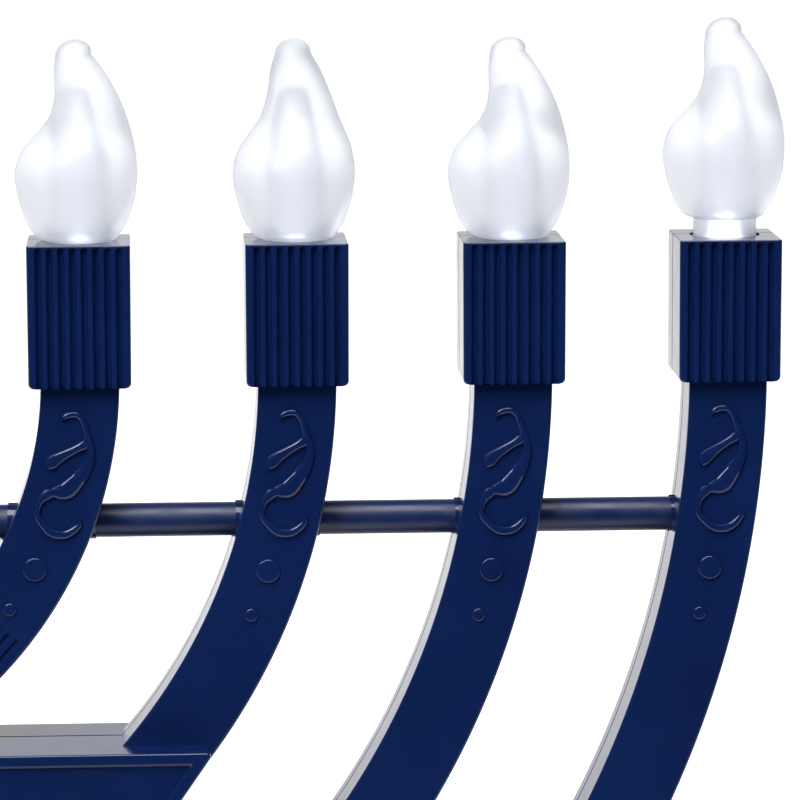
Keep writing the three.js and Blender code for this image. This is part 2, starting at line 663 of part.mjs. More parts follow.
// The slide switch's knob, at the "on" end of its slot, with a flange that keeps it in.
function switchKnob() {
  const x = BOARD_X - SWITCH_TRAVEL / 2;
  const [halfWidth, halfHeight] = SWITCH_KNOB.map((size) => size / 2);
  const flangeRear = HUB_REAR_Y - HUB_WALL - TURN_GAP;
  const flange = block(
    [x - halfWidth - SWITCH_FLANGE, flangeRear - SWITCH_FLANGE, SWITCH_Z - halfHeight - SWITCH_FLANGE],
    [x + halfWidth + SWITCH_FLANGE, flangeRear, SWITCH_Z + halfHeight + SWITCH_FLANGE],
  );
  const knob = block(
    [x - halfWidth, flangeRear - SWITCH_FLANGE / 2, SWITCH_Z - halfHeight],
    [x + halfWidth, HUB_REAR_Y + 1.2, SWITCH_Z + halfHeight],
  );
  return flange.add(knob);
}

function powerInlet() {
  const [halfWidth, halfHeight] = INLET_SIZE.map((size) => size / 2);
  const [near, far] = [boardRearY + TOUCH_GAP, HUB_REAR_Y - TOUCH_GAP];
  const outside = block(
    [BOARD_X - halfWidth, near, INLET_Z - halfHeight],
    [BOARD_X + halfWidth, far, INLET_Z + halfHeight],
  );
  const inside = block(
    [BOARD_X - halfWidth + INLET_WALL, near + PAST, INLET_Z - halfHeight + INLET_WALL],
    [BOARD_X + halfWidth - INLET_WALL, far + PAST, INLET_Z + halfHeight - INLET_WALL],
  );
  return outside.subtract(inside);
}

// A pan-head screw whose head rests at height 0 and whose shank points down.
function screw() {
  return turned(
    [
      [0, -SCREW_LENGTH],
      [SCREW_SHANK * 0.6, -SCREW_LENGTH],
      [SCREW_SHANK, 1 - SCREW_LENGTH],
      [SCREW_SHANK, 0],
      [SCREW_HEAD, 0],
      [SCREW_HEAD, SCREW_HEAD_HEIGHT * 0.6],
      [SCREW_HEAD * 0.6, SCREW_HEAD_HEIGHT],
      [0, SCREW_HEAD_HEIGHT],
    ],
    8,
  );
}

const plateBottomZ = FOOT_HEIGHT + TOUCH_GAP;
const coverBottomZ = plateBottomZ + PLATE_THICKNESS + TOUCH_GAP;
const baseScrewY = PARTING_Y - FOOT_STEM_FRONT / 2;

function baseCover() {
  const outside = BASE_TIERS.map(([width, depth, top]) =>
    prism(roundedRectangle(width, depth, BASE_CORNER), coverBottomZ, top),
  );
  const inside = BASE_TIERS.map(([width, depth, top]) => {
    const shape = roundedRectangle(width - 2 * BASE_WALL, depth - 2 * BASE_WALL, BASE_CORNER - BASE_WALL);
    return prism(shape, coverBottomZ - PAST, top - BASE_WALL);
  });
  const holes = [-BASE_SCREW_X, BASE_SCREW_X].map((x) =>
    rodZ(SCREW_SHANK + TURN_GAP, BASE_TOP_Z - BASE_WALL - PAST, BASE_TOP_Z + PAST, x, baseScrewY, 8),
  );
  return cut(join(outside), [...inside, ...holes]);
}

function basePlate() {
  const [width, depth] = BASE_TIERS[0];
  return prism(roundedRectangle(width, depth, BASE_CORNER), plateBottomZ, plateBottomZ + PLATE_THICKNESS);
}

function ballastPlate() {
  const [width, depth, thickness] = BALLAST;
  return block([-width / 2, -depth / 2, coverBottomZ], [width / 2, depth / 2, coverBottomZ + thickness]);
}

const menorah = new THREE.Group();

function place(name, solid, finish, group = menorah) {
  const mesh = new THREE.Mesh(toGeometry(solid), new THREE.MeshStandardMaterial(finish));
  mesh.name = name;
  group.add(mesh);
  return mesh;
}

place("front_shell", frontShell(), NAVY);
place("rear_shell", rearShell(), NAVY);
place("cross_bar", rodX(BAR_RADIUS, barHalfLength, PARTING_Y, BAR_Z), NAVY);

for (const { name, x, top, turn, lift } of lights) {
  const seat = new THREE.Group();
  seat.position.set(x, BULB_Y, top);
  menorah.add(seat);
  const bulb = place(`flame_${name}`, flame(), FROSTED, seat);
  bulb.rotation.z = turn;
  bulb.position.z = lift;
  place(`led_carrier_${name}`, ledCarrier(), WHITE_PLASTIC, seat).position.z = lift;
  place(`socket_${name}`, socket(), TINNED, seat);
}

const hubAngle = Math.asin((ARC_Z - HUB_TOP_Z + WIRE_END_DEPTH) / armRadius(2));
for (const arm of arms.filter((number) => number !== 2))
  place(`arm_wire_${arm}`, archWire(arm, 0, Math.PI), WIRE_RED);
place("arm_wire_2_right", archWire(2, 0, hubAngle), WIRE_RED);
place("arm_wire_2_left", archWire(2, Math.PI - hubAngle, Math.PI), WIRE_RED);
place("stem_wire", stemWire(), WIRE_RED);

place("battery_tray", batteryTray(), BLACK_PLASTIC);
place("battery_door", batteryDoor(), NAVY);
place("contact_left", contactStrip(-1), STEEL);
place("contact_right", contactStrip(1), STEEL);
for (const index of cells) {
  const side = index % 2 ? 1 : -1;
  const battery = place(`battery_${index + 1}`, cell(), CELL_WRAP);
  battery.rotation.y = (-side * Math.PI) / 2;
  battery.position.set((side * CELL_LENGTH) / 2, CELL_Y, cellZ(index));
}

place("circuit_board", circuitBoard(), BOARD_GREEN);
place("power_switch", switchKnob(), BLACK_PLASTIC);
place("usb_inlet", powerInlet(), STEEL);

screwPlaces.forEach(([x, z], index) => {
  const mesh = place(`shell_screw_${index + 1}`, screw(), STEEL);
  mesh.rotation.x = -Math.PI / 2;
  mesh.position.set(x, seatY + TOUCH_GAP, z);
});

place("base_cover", baseCover(), NAVY);
place("base_plate", basePlate(), NAVY);
place("ballast_plate", ballastPlate(), STEEL);
for (const [side, x] of [
  ["left", -BASE_SCREW_X],
  ["right", BASE_SCREW_X],
]) {
  const mesh = place(`base_screw_${side}`, screw(), STEEL);
  mesh.rotation.x = Math.PI;
  mesh.position.set(x, baseScrewY, BASE_TOP_Z - BASE_WALL - TOUCH_GAP);
}

const [baseWidth, baseDepth] = BASE_TIERS[0];
[
  [-1, -1],
  [1, -1],
  [1, 1],
  [-1, 1],
].forEach(([sideX, sideY], index) => {
  const x = sideX * (baseWidth / 2 - FOOT_INSET);
  const y = sideY * (baseDepth / 2 - FOOT_INSET);
  place(`foot_${index + 1}`, rodZ(FOOT_RADIUS, 0, FOOT_HEIGHT, x, y, 12), RUBBER);
});

export default menorah;
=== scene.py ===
"""Electric menorah: the finished look of its moulded body, flame bulbs, battery bay and stepped base.

Meshes are made in millimetres and handed to Blender in metres, in the CAD model's own frame.
"""

import logging
import math
from dataclasses import dataclass, field
from enum import Enum
from typing import Callable, Iterable, Sequence

import bmesh
import bpy
import numpy as np
from mathutils import Matrix, Vector


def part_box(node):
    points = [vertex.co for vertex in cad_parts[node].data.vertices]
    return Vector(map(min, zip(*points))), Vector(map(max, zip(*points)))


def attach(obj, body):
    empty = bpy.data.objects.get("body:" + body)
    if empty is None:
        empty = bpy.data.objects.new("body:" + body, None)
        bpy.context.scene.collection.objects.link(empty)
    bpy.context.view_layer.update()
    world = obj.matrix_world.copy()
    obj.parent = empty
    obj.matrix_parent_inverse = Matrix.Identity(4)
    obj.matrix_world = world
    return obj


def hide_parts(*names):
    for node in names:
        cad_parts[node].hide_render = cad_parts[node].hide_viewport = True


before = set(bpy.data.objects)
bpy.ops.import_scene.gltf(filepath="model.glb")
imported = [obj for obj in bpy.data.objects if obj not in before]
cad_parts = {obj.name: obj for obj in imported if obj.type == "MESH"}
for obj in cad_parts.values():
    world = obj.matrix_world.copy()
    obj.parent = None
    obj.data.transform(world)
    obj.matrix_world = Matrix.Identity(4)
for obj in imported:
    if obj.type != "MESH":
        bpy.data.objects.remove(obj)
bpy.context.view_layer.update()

MM = 0.001
ROOT = "root"
CREASE = math.radians(34.0)
log = logging.getLogger("menorah")

Ring = np.ndarray
Point2 = tuple[float, float]
Point3 = tuple[float, float, float]
Colour = tuple[float, float, float]
Stops = Sequence[tuple[float, Sequence[float]]]


class Side(Enum):
    """The two halves of the moulded body, by the direction they face from the parting plane."""

    FRONT = -1
    REAR = 1


class Cut(Enum):
    """How one solid acts on another."""

    JOIN = "UNION"
    REMOVE = "DIFFERENCE"


# ---------------------------------------------------------------- geometry


@dataclass
class Solid:
    """One or more closed surfaces in millimetres, before they become a Blender mesh."""

    vertices: np.ndarray = field(default_factory=lambda: np.zeros((0, 3)))
    faces: list[tuple[int, ...]] = field(default_factory=list)

    def __add__(self, other: "Solid") -> "Solid":
        """Puts both solids side by side in one mesh.

        Args:
            other: The second solid.

        Returns:
            The new solid.
        """
        shift = len(self.vertices)
        moved = [tuple(index + shift for index in face) for face in other.faces]
        return Solid(np.vstack([self.vertices, other.vertices]), self.faces + moved)

    def moved(self, x: float = 0.0, y: float = 0.0, z: float = 0.0) -> "Solid":
        """A copy shifted by millimetres along each axis."""
        return Solid(self.vertices + np.array([x, y, z]), list(self.faces))

    def turned(self, axis: str, degrees: float) -> "Solid":
        """A copy turned about one of the frame's axes."""
        matrix = np.array(Matrix.Rotation(math.radians(degrees), 3, axis))
        return Solid(self.vertices @ matrix.T, list(self.faces))


def gather(solids: Iterable[Solid]) -> Solid:
    """Several solids that don't meet, as one mesh.

    Args:
        solids: The solids.

    Returns:
        The new solid.
    """
    whole = Solid()
    for solid in solids:
        whole = whole + solid
    return whole


def loft(rings: Sequence[Ring]) -> Solid:
    """A closed solid through rings of points, with a flat cap on the first and the last.

    Args:
        rings: Loops of equal length, each an array of x, y and z in millimetres.

    Returns:
        The solid, whose faces are turned outwards when its mesh is made.
    """
    count = len(rings[0])
    if any(len(ring) != count for ring in rings):
        raise ValueError("every ring needs the same number of points")
    faces: list[tuple[int, ...]] = []
    for ring in range(len(rings) - 1):
        near, far = ring * count, (ring + 1) * count
        for i in range(count):
            j = (i + 1) % count
            faces.append((near + i, near + j, far + j, far + i))
    last = (len(rings) - 1) * count
    faces.append(tuple(range(count - 1, -1, -1)))
    faces.append(tuple(range(last, last + count)))
    return Solid(np.vstack(rings), faces)


def quarter_turn(steps: int) -> list[float]:
    """Evenly spaced angles from 0 to a right angle, both included."""
    return [math.pi / 2 * k / steps for k in range(steps + 1)]


def lay_flat(outline: Ring, height: float) -> Ring:
    """A loop of x and y as a ring at one z."""
    return np.column_stack([outline, np.full(len(outline), height)])


def stand_up(outline: Ring, depth: float) -> Ring:
    """A loop of x and z as a ring at one y."""
    return np.column_stack([outline[:, 0], np.full(len(outline), depth), outline[:, 1]])


def rounded(corners: Sequence[Point2], radius: float, steps: int = 5) -> Ring:
    """A convex outline with each corner rounded.

    Args:
        corners: Corner points, counter-clockwise.
        radius: Radius of every corner.
        steps: Points along each corner's arc.

    Returns:
        The outline's points.
    """
    points: list[np.ndarray] = []
    total = len(corners)
    for i in range(total):
        before, here, after = (np.array(corners[(i + k) % total], float) for k in (-1, 0, 1))
        come, go = here - before, after - here
        come, go = come / np.linalg.norm(come), go / np.linalg.norm(go)
        turn = math.acos(float(np.clip(come @ go, -1, 1)))
        reach = radius * math.tan(turn / 2)
        centre = here - come * reach + np.array([-come[1], come[0]]) * radius
        start = math.atan2(-come[0], come[1])
        for k in range(steps):
            angle = start + turn * k / (steps - 1)
            points.append(centre + radius * np.array([math.cos(angle), math.sin(angle)]))
    return np.array(points)


def rectangle(width: float, depth: float, corner: float, middle: Point2 = (0, 0), steps: int = 5) -> Ring:
    """A rectangle with rounded corners.

    Args:
        width: Its size across.
        depth: Its size along the second axis.
        corner: Radius of its corners.
        middle: Its middle point.
        steps: Points along each corner's arc.

    Returns:
        The outline.
    """
    x, y = width / 2, depth / 2
    left, low = middle
    corners = [(left - x, low - y), (left + x, low - y), (left + x, low + y), (left - x, low + y)]
    return rounded(corners, max(corner, 0.02), steps)


def circle(radius: float, sides: int = 48, middle: Point2 = (0, 0)) -> Ring:
    """A round loop about its middle point."""
    angles = np.linspace(0, 2 * math.pi, sides, endpoint=False)
    return np.column_stack([middle[0] + radius * np.cos(angles), middle[1] + radius * np.sin(angles)])


def edge_levels(low: float, high: float, bevel: float, steps: int = 4) -> list[Point2]:
    """Heights and insets of the rings of a slab whose two rims are rounded.

    Args:
        low: The slab's foot.
        high: Its top.
        bevel: Radius of its rims.
        steps: Rings along each rim's arc.

    Returns:
        Pairs of height and inset, from the foot up.
    """
    turns = quarter_turn(steps)
    under = [(low + bevel * (1 - math.sin(a)), bevel * (1 - math.cos(a))) for a in reversed(turns)]
    over = [(high - bevel * (1 - math.sin(a)), bevel * (1 - math.cos(a))) for a in turns]
    return under + over


def block(low: Sequence[float], high: Sequence[float], bevel: float = 0.3, axis: str = "z") -> Solid:
    """A box with rounded corners along one axis and rounded rims across it.

    Args:
        low: Lowest corner.
        high: Highest corner.
        bevel: Radius of the corners and rims.
        axis: The axis that the corners run along, y or z.

    Returns:
        The solid.
    """
    across = 1 if axis == "z" else 2
    along = 2 if axis == "z" else 1
    width, depth = high[0] - low[0], high[across] - low[across]
    middle = ((high[0] + low[0]) / 2, (high[across] + low[across]) / 2)
    place = lay_flat if axis == "z" else stand_up
    rings = []
    for level, inset in edge_levels(low[along], high[along], bevel):
        outline = rectangle(width - 2 * inset, depth - 2 * inset, 1.5 * bevel - inset, middle)
        rings.append(place(outline, level))
    return loft(rings)


def lathe(profile: Sequence[Point2], sides: int = 48) -> Solid:
    """A solid turned about z from a profile of radius and height, which starts and ends near the axis."""
    return loft([lay_flat(circle(max(radius, 0.02), sides), height) for radius, height in profile])


def smooth_line(points: Sequence[Sequence[float]], steps: int) -> np.ndarray:
    """A Catmull-Rom curve through points of any dimension.

    Args:
        points: The points it passes through.
        steps: Points made for each span.

    Returns:
        The curve's points.
    """
    p = np.array(points, float)
    p = np.vstack([2 * p[0] - p[1], p, 2 * p[-1] - p[-2]])
    line = []
    for i in range(1, len(p) - 2):
        for k in range(steps):
            t = k / steps
            slope = p[i + 1] - p[i - 1]
            bend = 2 * p[i - 1] - 5 * p[i] + 4 * p[i + 1] - p[i + 2]
            twist = 3 * p[i] - p[i - 1] - 3 * p[i + 1] + p[i + 2]
            line.append(0.5 * (2 * p[i] + slope * t + bend * t * t + twist * t**3))
    line.append(p[-2])
    return np.array(line)


def wire(path: np.ndarray, radius: float, sides: int = 10) -> Solid:
    """A round wire along a line of points.

    Args:
        path: The line.
        radius: The wire's radius.
        sides: Points round it.

    Returns:
        The solid.
    """
    rings = []
    side = np.array([0.0, 0.0, 1.0])
    for i in range(len(path)):
        ahead = path[min(i + 1, len(path) - 1)] - path[max(i - 1, 0)]
        ahead = ahead / np.linalg.norm(ahead)
        side = side - ahead * (side @ ahead)
        if np.linalg.norm(side) < 1e-6:
            side = np.cross(ahead, [1.0, 0.0, 0.0])
        side = side / np.linalg.norm(side)
        other = np.cross(ahead, side)
        angles = np.linspace(0, 2 * math.pi, sides, endpoint=False)[:, None]
        rings.append(path[i] + radius * (np.cos(angles) * side + np.sin(angles) * other))
    return loft(rings)


def rod(axis: str, radius: float, start: float, end: float, middle: Point2, sides: int = 32) -> Solid:
    """A plain round cutter or post along one axis.

    Args:
        axis: The axis it runs along, x, y or z.
        radius: Its radius.
        start: Where it begins along the axis.
        end: Where it ends.
        middle: Its place on the two other axes, in alphabetical order.
        sides: Points round it.

    Returns:
        The solid.
    """
    loop = circle(radius, sides, middle)
    rings = []
    for level in (start, end):
        columns = [loop[:, 0], loop[:, 1]]
        columns.insert("xyz".index(axis), np.full(sides, level))
        rings.append(np.column_stack(columns))
    return loft(rings)


def box_cutter(low: Sequence[float], high: Sequence[float]) -> Solid:
    """A sharp box that opens a hole or a hollow."""
    outline = np.array([(low[0], low[2]), (high[0], low[2]), (high[0], high[2]), (low[0], high[2])])
    return loft([stand_up(outline, low[1]), stand_up(outline, high[1])])


def slab(outline: Sequence[Point2], start: float, end: float) -> Solid:
    """A sharp slab of an outline in x and z, between two depths."""
    loop = np.array(outline, float)
    return loft([stand_up(loop, start), stand_up(loop, end)])


def ring_cutter(outer: Ring, inner: Ring, start: float, end: float) -> Solid:
    """A frame-shaped cutter between two outlines in x and z.

    Args:
        outer: The outer outline.
        inner: The inner outline, with as many points.
        start: The depth in y where it begins.
        end: The depth where it ends.

    Returns:
        The solid.
    """
    loops = [stand_up(outer, start), stand_up(outer, end), stand_up(inner, end), stand_up(inner, start)]
    count = len(outer)
    faces: list[tuple[int, ...]] = []
    for k in range(len(loops)):
        near, far = k * count, (k + 1) % len(loops) * count
        for i in range(count):
            j = (i + 1) % count
            faces.append((near + i, near + j, far + j, far + i))
    return Solid(np.vstack(loops), faces)


def link(name: str, data: bpy.types.ID) -> bpy.types.Object:
    """Makes an object of a mesh, a lamp or a camera and puts it in the scene.

    Args:
        name: The object's name.
        data: What it shows.

    Returns:
        The new object.
    """
    made = bpy.data.objects.new(name, data)
    bpy.context.scene.collection.objects.link(made)
    return made


def to_object(name: str, solid: Solid) -> bpy.types.Object:
    """Turns a solid into a Blender object in metres, with its faces turned outwards.

    Args:
        name: The object's name.
        solid: The solid in millimetres.

    Returns:
        The new object.
    """
    mesh = bpy.data.meshes.new(name)
    mesh.from_pydata((solid.vertices * MM).tolist(), [], solid.faces)
    work = bmesh.new()
    work.from_mesh(mesh)
    bmesh.ops.recalc_face_normals(work, faces=work.faces)
    work.to_mesh(mesh)
    work.free()
    return link(name, mesh)


def apply(body: bpy.types.Object, solid: Solid, cut: Cut) -> None:
    """Joins a solid to a piece, or removes it from the piece.

    Args:
        body: The piece, whose mesh is changed.
        solid: The solid that acts on it.
        cut: Whether it is joined or removed.
    """
    other = to_object("cutter", solid)
    step = body.modifiers.new("cut", "BOOLEAN")
    step.operation, step.solver, step.object = cut.value, "MANIFOLD", other
    shaped = body.evaluated_get(bpy.context.evaluated_depsgraph_get())
    result = bpy.data.meshes.new_from_object(shaped)
    body.modifiers.remove(step)
    old, body.data = body.data, result
    bpy.data.meshes.remove(old)
    bpy.data.objects.remove(other)


def finish_piece(
    piece: bpy.types.Object,
    finish: bpy.types.Material,
    body: str = ROOT,
    replaces: Sequence[str] = (),
) -> bpy.types.Object:
    """Shades, dresses and mounts a piece.

    Args:
        piece: The object to finish.
        finish: Its material.
        body: The body it rides on.
        replaces: The CAD nodes it stands for.

    Returns:
        The same object.
    """
    mesh = piece.data
    mesh.polygons.foreach_set("use_smooth", [True] * len(mesh.polygons))
    mesh.set_sharp_from_angle(angle=CREASE)
    weighted = piece.modifiers.new("even shading", "WEIGHTED_NORMAL")
    weighted.keep_sharp = True
    mesh.materials.clear()
    mesh.materials.append(finish)
    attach(piece, body)
    if replaces:
        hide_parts(*replaces)
    log.info("%s: %d faces on %s", piece.name, len(mesh.polygons), body)
    return piece


# ---------------------------------------------------------------- finishes


def map_range(
    tree: bpy.types.NodeTree,
    value: bpy.types.NodeSocket,
    span: tuple[float, float],
    result: tuple[float, float],
) -> bpy.types.Node:
    """Adds a node that maps a value from one range to another.

    Args:
        tree: The node tree.
        value: The value to map.
        span: The value's lowest and highest.
        result: What these two become.

    Returns:
        The node.
    """
    node = tree.nodes.new("ShaderNodeMapRange")
    for name, number in zip(("From Min", "From Max", "To Min", "To Max"), (*span, *result)):
        node.inputs[name].default_value = number
    tree.links.new(value, node.inputs["Value"])
    return node


class Nodes:
    """A material's node tree with short calls for the nodes that every finish uses."""

    NOISE_SPAN = (0.3, 0.7)

    def __init__(self, name: str) -> None:
        """Starts a material with one Principled shader.

        Args:
            name: The material's name.
        """
        self.material = bpy.data.materials.new(name)
        self.material.use_nodes = True
        self.tree = self.material.node_tree
        self.shader = self.tree.nodes["Principled BSDF"]
        self.place = self.tree.nodes.new("ShaderNodeTexCoord").outputs["Object"]

    def set(self, **values: object) -> None:
        """Sets the shader's own sockets; an underscore in a name stands for a space."""
        for name, value in values.items():
            self.shader.inputs[name.replace("_", " ")].default_value = value

    def noise(
        self, scale: float, detail: float = 3.0, stretch: Sequence[float] = (1, 1, 1)
    ) -> bpy.types.NodeSocket:
        """Noise over the piece's own space.

        Args:
            scale: Waves to a metre.
            detail: How many finer layers it has.
            stretch: Factors that squeeze it along each axis.

        Returns:
            The noise's output.
        """
        mapping = self.tree.nodes.new("ShaderNodeMapping")
        mapping.inputs["Scale"].default_value = stretch
        self.tree.links.new(self.place, mapping.inputs["Vector"])
        noise = self.tree.nodes.new("ShaderNodeTexNoise")
        noise.inputs["Scale"].default_value = scale
        noise.inputs["Detail"].default_value = detail
        self.tree.links.new(mapping.outputs["Vector"], noise.inputs["Vector"])
        return noise.outputs["Fac"]

    def roughen(self, value: bpy.types.NodeSocket, low: float, high: float) -> None:
        """Lets a noise vary the roughness between two values."""
        span = map_range(self.tree, value, self.NOISE_SPAN, (low, high))
        self.tree.links.new(span.outputs["Result"], self.shader.inputs["Roughness"])

    def tint(self, value: bpy.types.NodeSocket, stops: Stops) -> None:
        """Colours the surface by a value.

        Args:
            value: The value, such as a noise or a place.
            stops: Positions along the value, each with its colour.
        """
        ramp = self.tree.nodes.new("ShaderNodeValToRGB")
        while len(ramp.color_ramp.elements) < len(stops):
            ramp.color_ramp.elements.new(0.5)
        for element, (position, colour) in zip(ramp.color_ramp.elements, stops):
            element.position = position
            element.color = (*colour, 1)
        self.tree.links.new(value, ramp.inputs["Fac"])
        self.tree.links.new(ramp.outputs["Color"], self.shader.inputs["Base Color"])

    def mottle(self, scale: float, colour: Colour, dark: float, bright: float = 1.0) -> None:
        """Drifts the colour between a darker and a brighter tone over a noise."""
        tones = [[c * share for c in colour] for share in (dark, bright)]
        self.tint(self.noise(scale), list(zip(self.NOISE_SPAN, tones)))

    def bump(self, height: bpy.types.NodeSocket, strength: float, distance: float) -> None:
        """Adds fine relief; a second call stacks on the first.

        Args:
            height: The noise that gives the relief.
            strength: Share of the relief that is used.
            distance: Height of the relief in metres.
        """
        bump = self.tree.nodes.new("ShaderNodeBump")
        bump.inputs["Strength"].default_value = strength
        bump.inputs["Distance"].default_value = distance
        self.tree.links.new(height, bump.inputs["Height"])
        normal = self.shader.inputs["Normal"]
        if normal.is_linked:
            self.tree.links.new(normal.links[0].from_socket, bump.inputs["Normal"])
        self.tree.links.new(bump.outputs["Normal"], normal)


@dataclass(frozen=True)
class GlossPlastic:
    """Polished injection-moulded plastic with faint flow marks and a trace of handling."""

    name: str
    colour: Colour
    drift: float = 0.12
    roughness: float = 0.17
    ior: float = 1.5
    relief: float = 0.05

    def build(self) -> bpy.types.Material:
        """Makes the material.

        Returns:
            The new material.
        """
        nodes = Nodes(self.name)
        nodes.set(IOR=self.ior, Coat_Weight=0.0)
        nodes.mottle(38.0, self.colour, 1 - self.drift, 1 + self.drift)
        nodes.roughen(nodes.noise(210.0, 5.0), self.roughness * 0.8, self.roughness * 1.3)
        nodes.bump(nodes.noise(1400.0, 2.0), self.relief, 0.00005)
        nodes.bump(nodes.noise(70.0, 1.0), self.relief, 0.0003)
        return nodes.material


@dataclass(frozen=True)
class MilkyPlastic:
    """Thick clear plastic with a milky haze, brightened throughout by a faint painted glow."""

    name: str
    colour: Colour = (0.885, 0.905, 0.95)
    transmission: float = 0.74
    roughness: float = 0.33
    ior: float = 1.4
    painted_glow: float = 0.014

    def build(self) -> bpy.types.Material:
        """Makes the material.

        Returns:
            The new material.
        """
        nodes = Nodes(self.name)
        nodes.set(IOR=self.ior, Transmission_Weight=self.transmission)
        # painted glow: a faint white emission over the whole flame stands in for light scattered inside the
        # milky plastic
        nodes.set(Emission_Color=(0.93, 0.95, 1.0, 1.0), Emission_Strength=self.painted_glow)
        nodes.mottle(60.0, self.colour, 0.96)
        nodes.roughen(nodes.noise(160.0, 4.0), self.roughness * 0.87, self.roughness * 1.25)
        nodes.bump(nodes.noise(90.0, 1.0, (1, 1, 0.25)), 0.15, 0.0002)
        return nodes.material


@dataclass(frozen=True)
class MattPlastic:
    """Plastic with a fine spark-eroded grain."""

    name: str
    colour: Colour
    roughness: float = 0.5
    grain: float = 0.25

    def build(self) -> bpy.types.Material:
        """Makes the material.

        Returns:
            The new material.
        """
        nodes = Nodes(self.name)
        nodes.set(IOR=1.5)
        nodes.mottle(90.0, self.colour, 0.85)
        nodes.roughen(nodes.noise(300.0), self.roughness * 0.85, self.roughness * 1.15)
        nodes.bump(nodes.noise(2200.0, 3.0), self.grain, 0.0001)
        return nodes.material


@dataclass(frozen=True)
class BrushedMetal:
    """Sheet or turned metal with fine lines along one axis."""

    name: str
    colour: Colour
    roughness: float = 0.32
    stretch: tuple[float, float, float] = (1.0, 1.0, 14.0)

    def build(self) -> bpy.types.Material:
        """Makes the material.

        Returns:
            The new material.
        """
        nodes = Nodes(self.name)
        nodes.set(Metallic=1.0)
        nodes.mottle(50.0, self.colour, 0.82)
        lines = nodes.noise(260.0, 4.0, self.stretch)
        nodes.roughen(lines, self.roughness * 0.7, self.roughness * 1.4)
        nodes.bump(nodes.noise(700.0, 4.0, self.stretch), 0.2, 0.00008)
        return nodes.material


@dataclass(frozen=True)
class BandedFilm:
    """Shrink film round a cell: two plain colour bands along the cell, with a thin line between them."""

    name: str
    dark: Colour = (0.015, 0.16, 0.17)
    bright: Colour = (0.62, 0.64, 0.66)
    border: Colour = (0.9, 0.9, 0.9)
    split: float = 0.76
    line: float = 0.02

    def build(self) -> bpy.types.Material:
        """Makes the material.

        Returns:
            The new material.
        """
        nodes = Nodes(self.name)
        nodes.set(IOR=1.52, Metallic=0.25)
        apart = nodes.tree.nodes.new("ShaderNodeSeparateXYZ")
        generated = nodes.tree.nodes.new("ShaderNodeTexCoord").outputs["Generated"]
        nodes.tree.links.new(generated, apart.inputs["Vector"])
        low, high = self.split - self.line, self.split + self.line
        stops = [(0.0, self.dark), (low, self.dark), (self.split, self.border), (high, self.bright)]
        nodes.tint(apart.outputs["Z"], stops)
        nodes.roughen(nodes.noise(120.0, 4.0), 0.22, 0.4)
        nodes.bump(nodes.noise(300.0, 3.0), 0.2, 0.0001)
        return nodes.material


@dataclass(frozen=True)
class GlowingLens:
    """The LED's own clear resin, faintly lit from inside."""

    name: str
    colour: Colour = (0.9, 0.95, 1.0)
    glow: float = 2.0

    def build(self) -> bpy.types.Material:
        """Makes the material.

        Returns:
            The new material.
        """
        nodes = Nodes(self.name)
        nodes.set(IOR=1.5, Emission_Strength=self.glow, Emission_Color=(0.93, 0.96, 1.0, 1.0))
        nodes.mottle(500.0, self.colour, 0.9)
        nodes.roughen(nodes.noise(400.0), 0.08, 0.2)
        nodes.bump(nodes.noise(900.0), 0.05, 0.00005)
        return nodes.material


@dataclass(frozen=True)
class Finishes:
    """Every material of the object, made once."""

    navy: bpy.types.Material
    satin: bpy.types.Material
    flame: bpy.types.Material
    tin: bpy.types.Material
    steel: bpy.types.Material
    white: bpy.types.Material
    black: bpy.types.Material
    film: bpy.types.Material
    board: bpy.types.Material
    cover: bpy.types.Material
    rubber: bpy.types.Material
    lens: bpy.types.Material

    @classmethod
    def make(cls) -> "Finishes":
        """Builds the whole set.

        Returns:
            The materials.
        """
        return cls(
            navy=GlossPlastic("navy_plastic", (0.0038, 0.0152, 0.08), roughness=0.14, ior=1.54).build(),
            satin=GlossPlastic("satin_navy_plastic", (0.0038, 0.0152, 0.076), roughness=0.36).build(),
            flame=MilkyPlastic("milky_flame").build(),
            tin=BrushedMetal("tinned_sheet", (0.78, 0.79, 0.8)).build(),
            steel=BrushedMetal("zinc_plated_steel", (0.6, 0.61, 0.64), 0.28, (8.0, 1.0, 1.0)).build(),
            white=MattPlastic("white_plastic", (0.84, 0.84, 0.8), 0.42, 0.1).build(),
            black=MattPlastic("black_plastic", (0.018, 0.018, 0.02)).build(),
            film=BandedFilm("cell_film").build(),
            board=MattPlastic("solder_resist", (0.012, 0.16, 0.05), 0.38, 0.12).build(),
            cover=MattPlastic("wire_insulation", (0.42, 0.02, 0.02), 0.45, 0.1).build(),
            rubber=MattPlastic("foot_rubber", (0.02, 0.02, 0.021), 0.85, 0.5).build(),
            lens=GlowingLens("led_resin").build(),
        )


# ---------------------------------------------------------------- layout


def box_mm(node: str) -> tuple[np.ndarray, np.ndarray]:
    """A CAD node's lowest and highest corners, in millimetres."""
    low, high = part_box(node)
    return np.array(low) / MM, np.array(high) / MM


def middle_mm(node: str) -> np.ndarray:
    """The middle of a CAD node's box, in millimetres."""
    low, high = box_mm(node)
    return (low + high) / 2


@dataclass(frozen=True)
class Light:
    """One of the nine lights."""

    name: str
    x: float
    top: float


